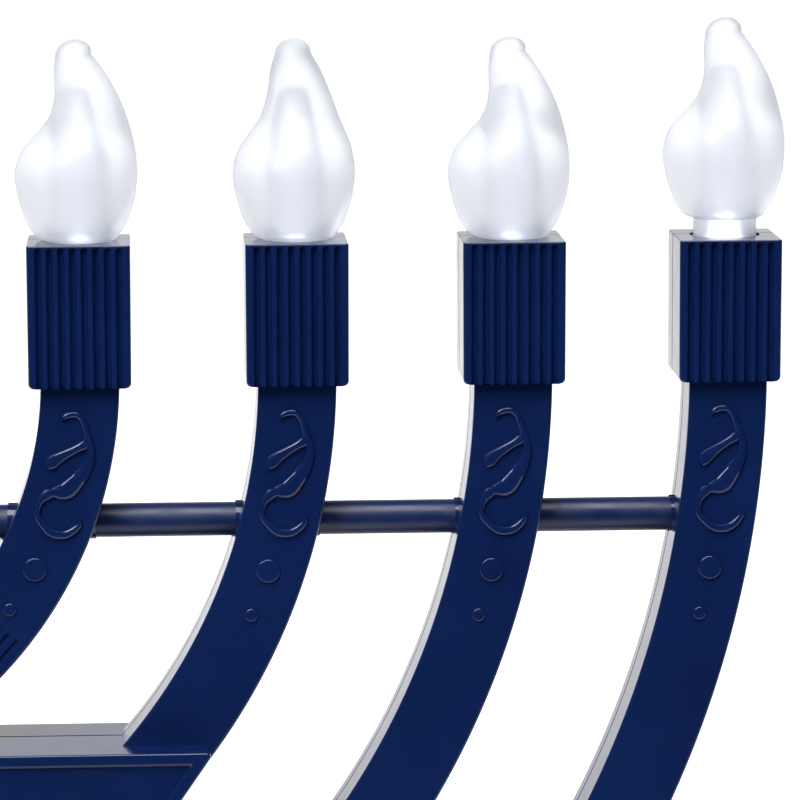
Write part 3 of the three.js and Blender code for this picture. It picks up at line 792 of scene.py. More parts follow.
@dataclass(frozen=True)
class Layout:
    """Heights, depths and radii measured on the CAD nodes, in millimetres."""

    lights: tuple[Light, ...]
    parting: float
    bulb_y: float
    bar_z: float
    bar_half: float
    bar_radius: float
    arc_z: float
    hub_front: float
    hub_rear: float
    hub_top: float
    stem_foot: float

    SOCKET_DROP = 2.3
    TRAY_DROP = 6.6
    WIRE_RADIUS = 0.8

    @classmethod
    def read(cls) -> "Layout":
        """Measures the CAD nodes.

        Returns:
            The measures.
        """
        lights = []
        for node in sorted(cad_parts):
            if node.startswith("socket_"):
                name = node.removeprefix("socket_")
                lights.append(Light(name, middle_mm(node)[0], box_mm(node)[1][2] + cls.SOCKET_DROP))
        lights.sort(key=lambda light: light.x)
        bar_low, bar_high = box_mm("cross_bar")
        bar_middle = middle_mm("cross_bar")
        front_low, _ = box_mm("front_shell")
        wire_low, _ = box_mm("arm_wire_4")
        return cls(
            lights=tuple(lights),
            parting=bar_middle[1],
            bulb_y=middle_mm("socket_shamash")[1],
            bar_z=bar_middle[2],
            bar_half=bar_high[0],
            bar_radius=(bar_high[2] - bar_low[2]) / 2,
            arc_z=wire_low[2] + lights[-1].x + cls.WIRE_RADIUS,
            hub_front=front_low[1],
            hub_rear=box_mm("rear_shell")[1][1],
            hub_top=box_mm("battery_tray")[1][2] + cls.TRAY_DROP,
            stem_foot=front_low[2],
        )

    @property
    def radii(self) -> list[float]:
        """The centre-line radius of each arch, innermost first."""
        return [light.x for light in self.lights if light.x > 1]

    @property
    def side_top(self) -> float:
        """Height of the side cups' top faces."""
        return self.lights[0].top


# ---------------------------------------------------------------- moulded body


@dataclass(frozen=True)
class Flutes:
    """A row of parallel round-bottomed grooves with scalloped ends."""

    count: int
    pitch: float
    half: float
    depth: float

    SAMPLES = (-1.14, -0.97, -0.8, -0.5, 0.0, 0.5, 0.8, 0.97, 1.14)
    END_SAMPLES = (0.0, 0.4, 0.7, 0.9, 1.05)

    def centres(self) -> list[float]:
        """The grooves' centre lines across the face."""
        return [(i - (self.count - 1) / 2) * self.pitch for i in range(self.count)]

    def across(self) -> list[float]:
        """Sample places across the face, closer together where a groove's wall turns."""
        return [c + t * self.half for c in self.centres() for t in self.SAMPLES]

    def cut_at(self, across: float, before_end: float) -> float:
        """How deep the face is cut at a place.

        Args:
            across: Place across the face.
            before_end: Distance from the grooves' scalloped end, negative past it.

        Returns:
            The depth below the plain face.
        """
        t = min(abs(across - c) for c in self.centres()) / self.half
        past = max(0.0, (self.half - before_end) / self.half)
        fill = 1 - t * t - past * past
        return self.depth * math.sqrt(fill) if fill > 0 else 0.0

    def end_levels(self, end: float, direction: float) -> list[float]:
        """Sample places along the grooves near an end that lies in a direction, +1 or -1."""
        start = end - direction * self.half
        return [start + direction * self.half * t for t in self.END_SAMPLES]


@dataclass(frozen=True)
class Stroke:
    """One raised ribbon of the scroll ornament.

    Its points hold the distance down the arm from the arches' centre level, the place across the arm
    towards its outside, and the ribbon's width.
    """

    points: tuple[tuple[float, float, float], ...]
    steps: int = 5


SCROLL = (
    Stroke(
        (
            (7.1, -2.8, 0.5),
            (6.3, -2.0, 0.9),
            (6.0, -0.4, 0.9),
            (6.9, 0.8, 0.9),
            (9.3, 1.8, 1.0),
            (11.2, 2.5, 1.2),
        )
    ),
    Stroke(
        (
            (9.2, 1.9, 0.9),
            (12.0, 2.8, 1.3),
            (14.6, 2.5, 1.8),
            (17.0, 1.3, 2.6),
            (19.0, 0.0, 2.9),
            (19.8, -1.9, 1.5),
        )
    ),
    Stroke(
        (
            (19.9, -1.9, 1.3),
            (20.4, -2.6, 1.7),
            (21.7, -3.4, 1.2),
            (23.3, -3.5, 0.95),
            (24.8, -2.8, 1.1),
            (26.3, -0.4, 1.3),
            (26.3, 1.4, 1.3),
            (25.5, 2.8, 1.2),
            (23.9, 3.9, 0.9),
            (22.7, 3.9, 0.4),
        )
    ),
    Stroke(
        (
            (9.9, 1.8, 0.9),
            (10.8, 1.5, 1.5),
            (11.6, 0.4, 1.2),
            (13.3, -1.8, 1.6),
            (14.4, -2.9, 2.1),
            (15.2, -3.5, 1.9),
            (15.75, -3.85, 0.9),
        )
    ),
)


@dataclass
class Body:
    """The two moulded shells: arches, cups, hub, stems and their ornament."""

    layout: Layout
    arm_width: float = 13.1
    arm_depth: dict[Side, float] = field(default_factory=lambda: {Side.FRONT: 8.4, Side.REAR: 3.8})
    arm_wall: float = 1.5
    arm_corner: float = 0.45
    shell_gap: float = 0.15
    lip: float = 0.2
    cup_width: float = 17.1
    cup_height: float = 23.75
    cup_depth: dict[Side, float] = field(default_factory=lambda: {Side.FRONT: 10.6, Side.REAR: 6.2})
    cup_wall: float = 1.3
    cup_top_wall: float = 2.0
    cup_corner: float = 0.55
    cup_rim: float = 0.25
    cup_foot_corner: float = 0.8
    cup_draft: float = 0.05
    collar_rise: float = 0.3
    collar_room: float = 0.25
    collar_reach: float = 3.0
    hub_half: float = 87.65
    hub_height: float = 86.6
    hub_slope: float = 0.687
    hub_wall: float = 2.0
    hub_edge: float = 0.4
    hub_corner: float = 0.7
    rim: float = 2.0
    panel_depth: float = 0.8
    foot_width: float = 30.0
    foot_depth: dict[Side, float] = field(default_factory=lambda: {Side.FRONT: 11.0, Side.REAR: 7.0})
    foot_block: float = 14.0
    foot_corner: float = 0.8
    neck_hole: float = 5.9
    bar_room: float = 0.3
    screw_hole: float = 1.6
    head_hole: float = 3.0
    head_sink: float = 6.0
    front_post: float = 3.1
    rear_post: float = 4.5
    relief: float = 0.7
    root: float = 0.4
    boss_edge: float = 0.25
    boss_dome: float = 0.05
    boss_places: tuple[tuple[float, float, float], ...] = ((33.2, 1.98, 0.6), (41.2, 1.1, 0.5))
    fluted_from: float = math.radians(38.5)
    cup_flutes: Flutes = Flutes(8, 1.9, 0.5, 0.95)
    arm_flutes: Flutes = Flutes(6, 1.8, 0.45, 0.6)
    foot_flutes: Flutes = Flutes(7, 3.6, 0.95, 0.9)
    past: float = 1.0

    PILLOW = ((1.0, 0.55), (0.86, 0.84), (0.6, 0.97), (0.25, 1.0))
    PANEL_STEP = ((-0.3, 0.0), (-0.12, 0.06), (0.0, 0.2), (0.12, 0.7))

    # -- shared faces

    def plane(self, side: Side) -> float:
        """Where a shell begins, just off the parting plane."""
        return self.layout.parting + side.value * self.shell_gap

    def face(self, side: Side, depth: float) -> float:
        """The y of a face at a depth from the parting plane."""
        return self.layout.parting + side.value * depth

    def lip_of(self, side: Side) -> float:
        """How far a shell's rim is drawn in at the parting plane, which shows as a line on the front one."""
        return self.lip if side is Side.FRONT else 0.02

    def cup_hollow_foot(self, light: Light) -> float:
        """Height of the floor inside a cup."""
        return light.top - self.cup_height + self.cup_wall

    def arm_end(self) -> float:
        """Height at which the straight top of an arch ends, inside its cup."""
        return max(self.layout.arc_z, self.cup_hollow_foot(self.layout.lights[0])) + self.past

    def section(
        self,
        side: Side,
        half: float,
        depth: float,
        corner: float,
        inset: float = 0.0,
        across: Sequence[float] = (),
        cut_at: Callable[[float], float] | None = None,
    ) -> Ring:
        """The outline of a bar of the moulding, open side on the parting plane.

        Args:
            side: Which shell.
            half: Half the bar's width.
            depth: Its depth from the parting plane.
            corner: Radius of its two outer corners.
            inset: How far the outline is drawn in, as at a rounded end.
            across: Sample places on the outer face.
            cut_at: Depth of the grooves at a place on the outer face.

        Returns:
            Points of place across and y.
        """
        outer = self.face(side, depth)
        sign = -side.value
        radius = max(corner - inset, 0.03)
        edge = half - inset
        face = outer + sign * inset
        left = [
            (-edge + radius * (1 - math.cos(a)), face + sign * radius * (1 - math.sin(a)))
            for a in quarter_turn(4)
        ]
        middle = [(u, face + sign * (cut_at(u) if cut_at else 0.0)) for u in across]
        right = [(-u, y) for u, y in reversed(left)]
        plane = self.plane(side)
        lip = self.lip_of(side)
        rim = [(-edge + lip, plane), (-edge, plane + side.value * 1.2 * lip)]
        return np.array([*rim, *left, *middle, *right, *[(-u, y) for u, y in reversed(rim)]])

    # -- parts of the outside

    def arch(self, side: Side, radius: float) -> Solid:
        """One arch with its straight tops, fluted at its foot where it is the innermost.

        Args:
            side: Which shell.
            radius: The arch's centre-line radius.

        Returns:
            The solid.
        """
        layout, end = self.layout, self.arm_end()
        fluted = side is Side.FRONT and radius == layout.radii[0]
        angles = list(np.linspace(0, math.pi / 2, 20 + round(radius / 2)))
        if fluted:
            length = self.fluted_from * radius
            angles += [s / radius for s in self.arm_flutes.end_levels(length, -1.0)]
        angles = sorted(set(angles) | {math.pi - a for a in angles})
        stations = [(radius, end, 1.0, 0.0, 0.0)]
        for a in angles:
            x, z = math.cos(a), -math.sin(a)
            stations.append((radius * x, layout.arc_z + radius * z, x, z, min(a, math.pi - a)))
        stations.append((-radius, end, -1.0, 0.0, 0.0))
        rings = []
        for x, z, out_x, out_z, angle in stations:
            before_end = (angle - self.fluted_from) * radius
            outline = self.section(
                side,
                self.arm_width / 2,
                self.arm_depth[side],
                self.arm_corner,
                across=self.arm_flutes.across() if fluted else (),
                cut_at=(lambda u, b=before_end: self.arm_flutes.cut_at(u, b)) if fluted else None,
            )
            u, y = outline[:, 0], outline[:, 1]
            rings.append(np.column_stack([x + u * out_x, y, z + u * out_z]))
        return loft(rings)

    def cup(self, side: Side, light: Light) -> Solid:
        """One square cup: fluted in front, plain behind, drawn in a little towards its foot.

        Args:
            side: Which shell.
            light: The light that it holds.

        Returns:
            The solid.
        """
        top, foot = light.top, light.top - self.cup_height
        flutes = self.cup_flutes
        scallop = top - self.cup_rim
        turns = quarter_turn(4)
        levels = [(foot + self.cup_foot_corner * (1 - math.cos(a)), 0.0) for a in turns]
        levels += [(foot + 8.0, 0.0), (foot + 16.0, 0.0)]
        levels += [(z, 0.0) for z in flutes.end_levels(scallop, 1.0)[:-1]]
        rim = self.cup_rim
        levels += [(top - rim * (1 - math.sin(a)), rim * (1 - math.cos(a))) for a in turns]
        rings = []
        for z, inset in levels:
            rise = min(z - foot, self.cup_foot_corner)
            reach = self.cup_foot_corner - rise
            pull = self.cup_foot_corner - math.sqrt(max(self.cup_foot_corner**2 - reach**2, 0.0))
            half = self.cup_width / 2 - pull - self.cup_draft * (top - z) / self.cup_height
            front = side is Side.FRONT
            outline = self.section(
                side,
                half,
                self.cup_depth[side],
                self.cup_corner,
                inset,
                across=flutes.across() if front else (),
                cut_at=(lambda u, b=scallop - z: flutes.cut_at(u, b)) if front else None,
            )
            rings.append(lay_flat(outline, z) + np.array([light.x, 0, 0]))
        return loft(rings)

    def hub_outline(self, inset: float, corner: float) -> Ring:
        """The hub's trapezium.

        Args:
            inset: How far it is drawn in on all sides.
            corner: Radius of its corners.

        Returns:
            The outline in x and z.
        """
        side = inset * math.hypot(1, self.hub_slope)
        top, bottom = self.layout.hub_top - inset, self.layout.hub_top - self.hub_height + inset
        wide = self.hub_half - self.hub_slope * inset - side
        narrow = self.hub_half - self.hub_slope * (self.hub_height - inset) - side
        corners = [(-narrow, bottom), (narrow, bottom), (wide, top), (-wide, top)]
        return rounded(corners, max(corner, 0.1))

    def hub(self, side: Side) -> Solid:
        """The hub: a flat box with a raised rim round a sunken panel in front, plain behind.

        Args:
            side: Which shell.

        Returns:
            The solid.
        """
        outer = self.layout.hub_front if side is Side.FRONT else self.layout.hub_rear
        into = -side.value
        edge, corner = self.hub_edge, self.hub_corner
        lip, plane = self.lip_of(side), self.plane(side)
        rings = [
            stand_up(self.hub_outline(lip, corner), plane),
            stand_up(self.hub_outline(0, corner), plane - into * 1.2 * lip),
        ]
        for a in quarter_turn(4):
            inset = edge * (1 - math.cos(a))
            level = outer + into * edge * (1 - math.sin(a))
            rings.append(stand_up(self.hub_outline(inset, corner - inset), level))
        if side is Side.FRONT:
            for inset, depth in (*self.PANEL_STEP, (0.3, self.panel_depth)):
                rings.append(stand_up(self.hub_outline(self.rim + inset, 0.3), outer + into * depth))
        return loft(rings)

    def upright(self, side: Side, half: float, depth: float, low: float, high: float) -> Solid:
        """A plain upright bar of the moulding."""
        rings = [lay_flat(self.section(side, half, depth, self.arm_corner), z) for z in (low, high)]
        return loft(rings)

    def foot_stem(self, side: Side) -> Solid:
        """The lower stem, with long flutes down its front.

        Args:
            side: Which shell.

        Returns:
            The solid.
        """
        low, high = self.layout.stem_foot, self.layout.hub_top - self.hub_height + self.past
        flutes = self.foot_flutes
        start, end = low + 4.0, high - self.past - 4.0
        front = side is Side.FRONT
        levels = [low, *flutes.end_levels(start, -1.0)[::-1], *flutes.end_levels(end, 1.0), high]
        rings = []
        for z in levels:
            before_end = min(z - start, end - z)
            outline = self.section(
                side,
                self.foot_width / 2,
                self.foot_depth[side],
                self.foot_corner,
                across=flutes.across() if front else (),
                cut_at=(lambda u, b=before_end: flutes.cut_at(u, b)) if front else None,
            )
            rings.append(lay_flat(outline, z))
        return loft(rings)

    def collars(self, side: Side) -> Solid:
        """Low round collars where the cross bar enters each arm.

        Args:
            side: Which shell.

        Returns:
            The collars, which don't meet.
        """
        layout, half = self.layout, self.arm_width / 2
        drop = layout.arc_z - layout.bar_z
        size = layout.bar_radius + self.collar_room
        angles = np.linspace(-math.pi / 2, math.pi / 2, 25)
        y = self.plane(side) + side.value * size * np.cos(angles)
        z = layout.bar_z + size * np.sin(angles)
        solids = []
        for radius in layout.radii:
            inner = math.sqrt((radius - half) ** 2 - drop**2)
            outer = math.sqrt((radius + half) ** 2 - drop**2)
            for low, high in (
                (inner - self.collar_rise, inner + self.collar_reach),
                (outer - self.collar_reach, outer + self.collar_rise),
            ):
                for sign in (-1, 1):
                    ends = sorted((sign * low, sign * high))
                    solids.append(loft([np.column_stack([np.full(25, x), y, z]) for x in ends]))
        return gather(solids)

    # -- ornament

    def on_arm(self, radius: float, sign: int, down: float, across: float, out: float) -> np.ndarray:
        """A point of the front face.

        Args:
            radius: The arch's centre-line radius.
            sign: +1 on the right arm, -1 on the left.
            down: Distance down the arm from the arches' centre level.
            across: Distance outwards from the arm's centre line.
            out: Height above the front face.

        Returns:
            The point in millimetres.
        """
        angle, reach = down / radius, radius + across
        x = sign * reach * math.cos(angle)
        z = self.layout.arc_z - reach * math.sin(angle)
        return np.array([x, self.face(Side.FRONT, self.arm_depth[Side.FRONT]) - out, z])

    def ribbon(self, stroke: Stroke, radius: float, sign: int) -> Solid:
        """A ribbon with steep sides and a pillowed top, raised on one arm.

        Args:
            stroke: The ribbon's line and widths.
            radius: The arch's centre-line radius.
            sign: +1 on the right arm, -1 on the left.

        Returns:
            The solid.
        """
        line = smooth_line(stroke.points, stroke.steps)
        rings = []
        for i, (down, across, width) in enumerate(line):
            ahead = line[min(i + 1, len(line) - 1)] - line[max(i - 1, 0)]
            step = ahead[:2] / np.linalg.norm(ahead[:2])
            normal = np.array([-step[1], step[0]])
            half = max(width / 2, 0.15)
            slope = [(u * half, out * self.relief) for u, out in self.PILLOW]
            slope.insert(0, (half + 0.07, -self.root))
            profile = [(-u, out) for u, out in slope] + slope[::-1]
            ring = []
            for u, out in profile:
                place = np.array([down, across]) + normal * u
                ring.append(self.on_arm(radius, sign, place[0], place[1], out))
            rings.append(np.array(ring))
        return loft(rings)

    def boss(self, radius: float, sign: int, down: float, size: float, height: float) -> Solid:
        """A low round boss with a rounded edge and a faintly domed top.

        Args:
            radius: The arch's centre-line radius.
            sign: +1 on the right arm, -1 on the left.
            down: Distance down the arm from the arches' centre level.
            size: The boss's own radius.
            height: How far it stands out.

        Returns:
            The solid.
        """
        centre = self.on_arm(radius, sign, down, 0.3, 0.0)
        edge, dome = self.boss_edge, self.boss_dome
        profile = [(size + 0.07, -self.root)]
        for a in quarter_turn(5):
            profile.append((size - edge * (1 - math.cos(a)), height - dome - edge * (1 - math.sin(a))))
        profile += [(0.55 * (size - edge), height - 0.25 * dome), (0.2 * (size - edge), height)]
        return loft([stand_up(circle(r, 40, (centre[0], centre[2])), centre[1] - out) for r, out in profile])

    def ornament(self) -> list[Solid]:
        """Scrolls and bosses for all eight arms.

        Returns:
            Groups, each of solids that don't meet.
        """
        arms = [(radius, sign) for radius in self.layout.radii for sign in (-1, 1)]
        groups = [gather(self.ribbon(stroke, radius, sign) for radius, sign in arms) for stroke in SCROLL]
        for down, size, height in self.boss_places:
            groups.append(gather(self.boss(radius, sign, down, size, height) for radius, sign in arms))
        return groups

    # -- hollows and holes

    def hollows(self, side: Side) -> list[Solid]:
        """The spaces inside a shell, open at the parting plane.

        Args:
            side: Which shell.

        Returns:
            One cutter each for the arches, the cups, the hub, the stem and its foot.
        """
        layout = self.layout
        near = layout.parting - side.value * self.past
        channel = self.arm_width / 2 - self.arm_wall
        arm_floor = self.face(side, self.arm_depth[side] - self.arm_wall)
        end = self.arm_end()
        corners = ((-channel, near), (channel, near), (channel, arm_floor), (-channel, arm_floor))
        arches = []
        for radius in layout.radii:
            stations = [(radius, end, 1.0, 0.0)]
            for a in np.linspace(0, math.pi, 40 + round(radius / 2)):
                out_x, out_z = math.cos(a), -math.sin(a)
                stations.append((radius * out_x, layout.arc_z + radius * out_z, out_x, out_z))
            stations.append((-radius, end, -1.0, 0.0))
            rings = []
            for x, z, out_x, out_z in stations:
                rings.append(np.array([(x + u * out_x, y, z + u * out_z) for u, y in corners]))
            arches.append(loft(rings))
        wall = self.cup_wall + (self.cup_flutes.depth if side is Side.FRONT else 0.0)
        room = self.face(side, self.cup_depth[side] - wall)
        half = self.cup_width / 2 - self.cup_wall
        cups = [
            box_cutter(
                (light.x - half, min(near, room), self.cup_hollow_foot(light)),
                (light.x + half, max(near, room), light.top - self.cup_top_wall),
            )
            for light in layout.lights
        ]
        outer = layout.hub_front if side is Side.FRONT else layout.hub_rear
        hub_floor = outer - side.value * self.hub_wall
        hub = slab(self.hub_outline(self.hub_wall, 0.5), min(near, hub_floor), max(near, hub_floor))
        stem_top = self.cup_hollow_foot(layout.lights[4]) + self.past
        stem = box_cutter(
            (-channel, min(near, arm_floor), layout.hub_top - self.hub_wall - self.past),
            (channel, max(near, arm_floor), stem_top),
        )
        foot_floor = self.face(side, self.foot_depth[side] - self.hub_wall)
        foot = box_cutter(
            (-self.foot_width / 2 + self.hub_wall, min(near, foot_floor), layout.stem_foot + self.hub_wall),
            (
                self.foot_width / 2 - self.hub_wall,
                max(near, foot_floor),
                layout.hub_top - self.hub_height + self.hub_wall + self.past,
            ),
        )
        return [gather(arches), gather(cups), hub, stem, foot]

    def neck_holes(self) -> Solid:
        """The round holes in the cups' top faces.

        Returns:
            The cutters, which don't meet.
        """
        return gather(
            rod("z", self.neck_hole, light.top - 3.0, light.top + 1.0, (light.x, self.layout.bulb_y), 48)
            for light in self.layout.lights
        )

    def bar_hole(self) -> Solid:
        """The long round hole that the cross bar runs through."""
        layout, room = self.layout, self.bar_room
        reach = layout.bar_half + room
        return rod("x", layout.bar_radius + room, -reach, reach, (layout.parting, layout.bar_z))

    def outside(self, name: str, side: Side) -> bpy.types.Object:
        """A shell's outer shape, before it is hollowed.

        Args:
            name: The shell's name.
            side: Which shell.

        Returns:
            The new object.
        """
        layout = self.layout
        shell = to_object(name, self.hub(side))
        apply(shell, gather(self.arch(side, radius) for radius in layout.radii), Cut.JOIN)
        stem_top = layout.lights[4].top - self.cup_height + self.cup_wall / 2
        stem_foot = layout.hub_top - self.past
        stem = self.upright(side, self.arm_width / 2, self.arm_depth[side], stem_foot, stem_top)
        apply(shell, stem + self.foot_stem(side), Cut.JOIN)
        apply(shell, gather(self.cup(side, light) for light in layout.lights), Cut.JOIN)
        apply(shell, self.collars(side), Cut.JOIN)
        return shell

    def screw_places(self) -> list[Point2]:
        """The four shell screws' places in x and z."""
        middles = [middle_mm(f"shell_screw_{number}") for number in range(1, 5)]
        return [(middle[0], middle[2]) for middle in middles]

    def front(self, finish: bpy.types.Material) -> bpy.types.Object:
        """The front shell, with its ornament, its screw posts and the block that the base screws hold.

        Args:
            finish: Its material.

        Returns:
            The finished piece.
        """
        layout = self.layout
        shell = self.outside("front_moulding", Side.FRONT)
        for group in self.ornament():
            apply(shell, group, Cut.JOIN)
        for space in self.hollows(Side.FRONT):
            apply(shell, space, Cut.REMOVE)
        inner = layout.hub_front + self.hub_wall / 2
        plane, places = self.plane(Side.FRONT), self.screw_places()
        posts = gather(rod("y", self.front_post, inner, plane, place) for place in places)
        half = self.foot_width / 2 - self.hub_wall / 2
        front = self.face(Side.FRONT, self.foot_depth[Side.FRONT]) + self.hub_wall / 2
        foot = layout.stem_foot
        stem_block = box_cutter((-half, front, foot), (half, plane, foot + self.foot_block))
        apply(shell, posts + stem_block, Cut.JOIN)
        tip = box_mm("shell_screw_1")[0][1] - 0.3
        pilots = gather(rod("y", self.screw_hole, tip, 3.5, place, 24) for place in places)
        base_screws = []
        for node in ("base_screw_left", "base_screw_right"):
            end = box_mm(node)[1][2] + 0.3
            base_screws.append(rod("z", self.screw_hole, foot - 1, end, tuple(middle_mm(node)[:2]), 24))
        apply(shell, pilots + gather(base_screws), Cut.REMOVE)
        apply(shell, self.neck_holes(), Cut.REMOVE)
        apply(shell, self.bar_hole(), Cut.REMOVE)
        return finish_piece(shell, finish, replaces=["front_shell"])

    def rear(self, finish: bpy.types.Material) -> bpy.types.Object:
        """The rear shell, with the battery opening, the switch slot, the inlet and the screw recesses.

        Args:
            finish: Its material.

        Returns:
            The finished piece.
        """
        layout = self.layout
        shell = self.outside("rear_moulding", Side.REAR)
        for space in self.hollows(Side.REAR):
            apply(shell, space, Cut.REMOVE)
        places = self.screw_places()
        rear = layout.hub_rear
        plane, inner = self.plane(Side.REAR), rear - self.hub_wall / 2
        apply(shell, gather(rod("y", self.rear_post, plane, inner, p) for p in places), Cut.JOIN)
        holes = gather(rod("y", self.screw_hole, 1.0, rear + 1, p, 24) for p in places)
        apply(shell, holes, Cut.REMOVE)
        seats = gather(rod("y", self.head_hole, rear - self.head_sink, rear + 1, p) for p in places)
        apply(shell, seats, Cut.REMOVE)
        wall = (rear - self.hub_wall - 1.0, rear + 2.0)
        openings = []
        for node, room, travel, corner in (
            ("battery_door", 0.3, 0.0, 1.0),
            ("power_switch", -1.3, 4.0, 0.6),
            ("usb_inlet", 0.3, 0.0, 1.2),
        ):
            low, high = box_mm(node)
            width, height = high[0] - low[0] + 2 * room + travel, high[2] - low[2] + 2 * room
            middle = ((low[0] + high[0] + travel) / 2, (low[2] + high[2]) / 2)
            outline = rectangle(width, height, corner, middle)
            openings.append(loft([stand_up(outline, y) for y in wall]))
        apply(shell, gather(openings), Cut.REMOVE)
        apply(shell, self.neck_holes(), Cut.REMOVE)
        apply(shell, self.bar_hole(), Cut.REMOVE)
        return finish_piece(shell, finish, replaces=["rear_shell"])

    def bar(self, finish: bpy.types.Material) -> bpy.types.Object:
        """The satin cross bar, with rounded ends.

        Args:
            finish: Its material.

        Returns:
            The finished piece.
        """
        layout, edge = self.layout, 0.6
        half, radius = layout.bar_half, layout.bar_radius
        profile = []
        for a in quarter_turn(5):
            profile.append((radius - edge + edge * math.sin(a), -half + edge * (1 - math.cos(a))))
        profile += [(r, -z) for r, z in reversed(profile)]
        bar = lathe(profile, 64).turned("Y", 90).moved(0, layout.parting, layout.bar_z)
        return finish_piece(to_object("cross_rod", bar), finish, replaces=["cross_bar"])


# ---------------------------------------------------------------- lights


@dataclass
class FlameBulb:
    """A flame-shaped bulb of thick milky plastic, with its LED and holder inside and its socket below."""

    layout: Layout
    neck: float = 5.3
    neck_wall: float = 1.0
    neck_depth: float = 7.0
    holder_foot: float = 10.0
    outline: tuple[tuple[float, float, float], ...] = (
        (0.6, 6.9, -0.3),
        (3.0, 8.4, -0.3),
        (7.0, 9.7, -0.25),
        (11.0, 10.2, -0.3),
        (14.5, 9.6, 0.1),
        (17.3, 8.2, 0.95),
        (20.3, 6.55, 1.8),
        (24.0, 5.3, 1.6),
        (28.0, 4.2, 0.45),
        (31.0, 2.95, -0.5),
    )
    sides: int = 72
    core: tuple[Point2, ...] = (
        (4.15, 6.0),
        (3.95, 11.0),
        (3.5, 16.0),
        (2.85, 20.5),
        (2.2, 23.6),
        (1.5, 24.9),
        (0.7, 25.3),
    )
    tip_rise: float = 2.35
    tip_lean: float = 0.45
    turns: dict[str, float] = field(
        default_factory=lambda: {"right_1": 12.0, "right_2": 60.0, "right_3": -8.0}
    )

    def flame_mesh(self) -> Solid:
        """The hollow flame about its own axis, standing as when it is screwed home.

        Returns:
            The solid: from its tip down the outside, round the neck's end and up the core.
        """
        line = smooth_line(self.outline, 5)
        rings = []
        height, half, lean = line[-1]
        for a in quarter_turn(6)[:0:-1]:
            ring = circle(max(half * math.cos(a), 0.12), self.sides, (lean + self.tip_lean * math.sin(a), 0))
            rings.append(lay_flat(ring, height + self.tip_rise * math.sin(a)))
        for height, half, lean in line[::-1]:
            rings.append(lay_flat(circle(half, self.sides, (lean, 0)), height))
        neck, inner, foot = self.neck, self.neck - self.neck_wall, -self.neck_depth
        for radius, height in (
            (6.2, 0.15),
            (5.75, 0.0),
            (neck + 0.12, -0.15),
            (neck, -0.4),
            (neck, foot + 0.3),
            (neck - 0.3, foot),
            (inner, foot),
            (inner, 0.0),
            *self.core,
        ):
            rings.append(lay_flat(circle(radius, self.sides), height))
        return loft(rings)

    def holder_mesh(self) -> Solid:
        """The white holder: a plug inside the neck, a flange under it and a contact pin.

        Returns:
            The solid about its own axis.
        """
        plug, flange = 4.0, -self.neck_depth - 0.3
        profile = [
            (0.9, flange - 2.7),
            (1.5, flange - 2.4),
            (1.5, flange - 1.2),
            (5.0, flange - 1.2),
            (5.3, flange - 1.0),
            (5.3, flange - 0.2),
            (5.1, flange),
            (plug, flange),
            (plug, -4.0),
            (plug - 0.3, -3.6),
            (3.1, -3.6),
            (3.1, -3.9),
            (0.5, -3.9),
        ]
        return lathe(profile)

    def lens_mesh(self) -> Solid:
        """The LED: a flanged cylinder with a domed end."""
        dome = [(2.5 * math.cos(a), 0.1 + 2.4 * math.sin(a)) for a in quarter_turn(8)[:-1]]
        return lathe([(0.5, -3.85), (2.9, -3.85), (2.9, -3.0), (2.5, -2.9), *dome, (0.1, 2.5)])

    def socket_mesh(self, light: Light) -> Solid:
        """The rolled sleeve with its rings of thread and its contact stud.

        Args:
            light: A light, for the sleeve's place below the cup's top.

        Returns:
            The solid about its own axis, with the cup's top at 0.
        """
        low, high = box_mm(f"socket_{light.name}")
        outer = (high[0] - low[0]) / 2
        inner = outer - 0.6
        foot, rim = low[2] - light.top, high[2] - light.top
        rings, relief = 3, 0.09
        profile = [(0.5, foot), (outer - 0.3, foot), (outer, foot + 0.3)]
        for t in np.linspace(1, 0, 37):
            wave = math.cos(2 * math.pi * rings * t)
            profile.append((outer - relief + relief * wave, rim - 1.0 - 8.0 * t))
        profile += [(outer, rim - 0.15), (outer - 0.15, rim), (outer - 0.45, rim), (inner, rim - 0.15)]
        profile += [(inner, foot + 1.6), (1.7, foot + 1.6), (1.5, foot + 1.8)]
        profile += [(1.5, -10.5), (1.1, -10.3), (0.4, -10.3)]
        return lathe(profile)

    def build(self, finishes: Finishes) -> None:
        """Places the four pieces of all nine lights.

        Args:
            finishes: The materials.
        """
        flame = to_object("flame_pattern", self.flame_mesh())
        holder = to_object("holder_pattern", self.holder_mesh())
        lens = to_object("lens_pattern", self.lens_mesh())
        socket = to_object("socket_pattern", self.socket_mesh(self.layout.lights[0]))
        rows = (
            (flame, "flame_bulb", "bulb", finishes.flame, "frosted_flame", "flame"),
            (holder, "led_holder", "carrier", finishes.white, "white_plastic", "led_carrier"),
            (lens, "led_lens", "carrier", finishes.lens, "white_plastic", None),
            (socket, "socket_sleeve", None, finishes.tin, "tinned_metal", "socket"),
        )
        for light in self.layout.lights:
            name = light.name
            lift = box_mm(f"led_carrier_{name}")[0][2] - (light.top - self.holder_foot)
            turn = math.radians(self.turns.get(name, 180.0 if name.startswith("left") else 0.0))
            seat = Vector((light.x, self.layout.bulb_y, light.top)) * MM
            for pattern, piece, body, finish, slot, node in rows:
                copy = link(f"{piece}_{name}", pattern.data)
                copy.location = seat + Vector((0, 0, lift * MM)) if body else seat
                if pattern is flame:
                    copy.rotation_euler.z = turn
                rides_on = f"{body}_{name}" if body else ROOT
                finish_piece(copy, finish, rides_on, [f"{node}_{name}"] if node else [])
        for pattern, *_ in rows:
            bpy.data.objects.remove(pattern)


# ---------------------------------------------------------------- battery bay


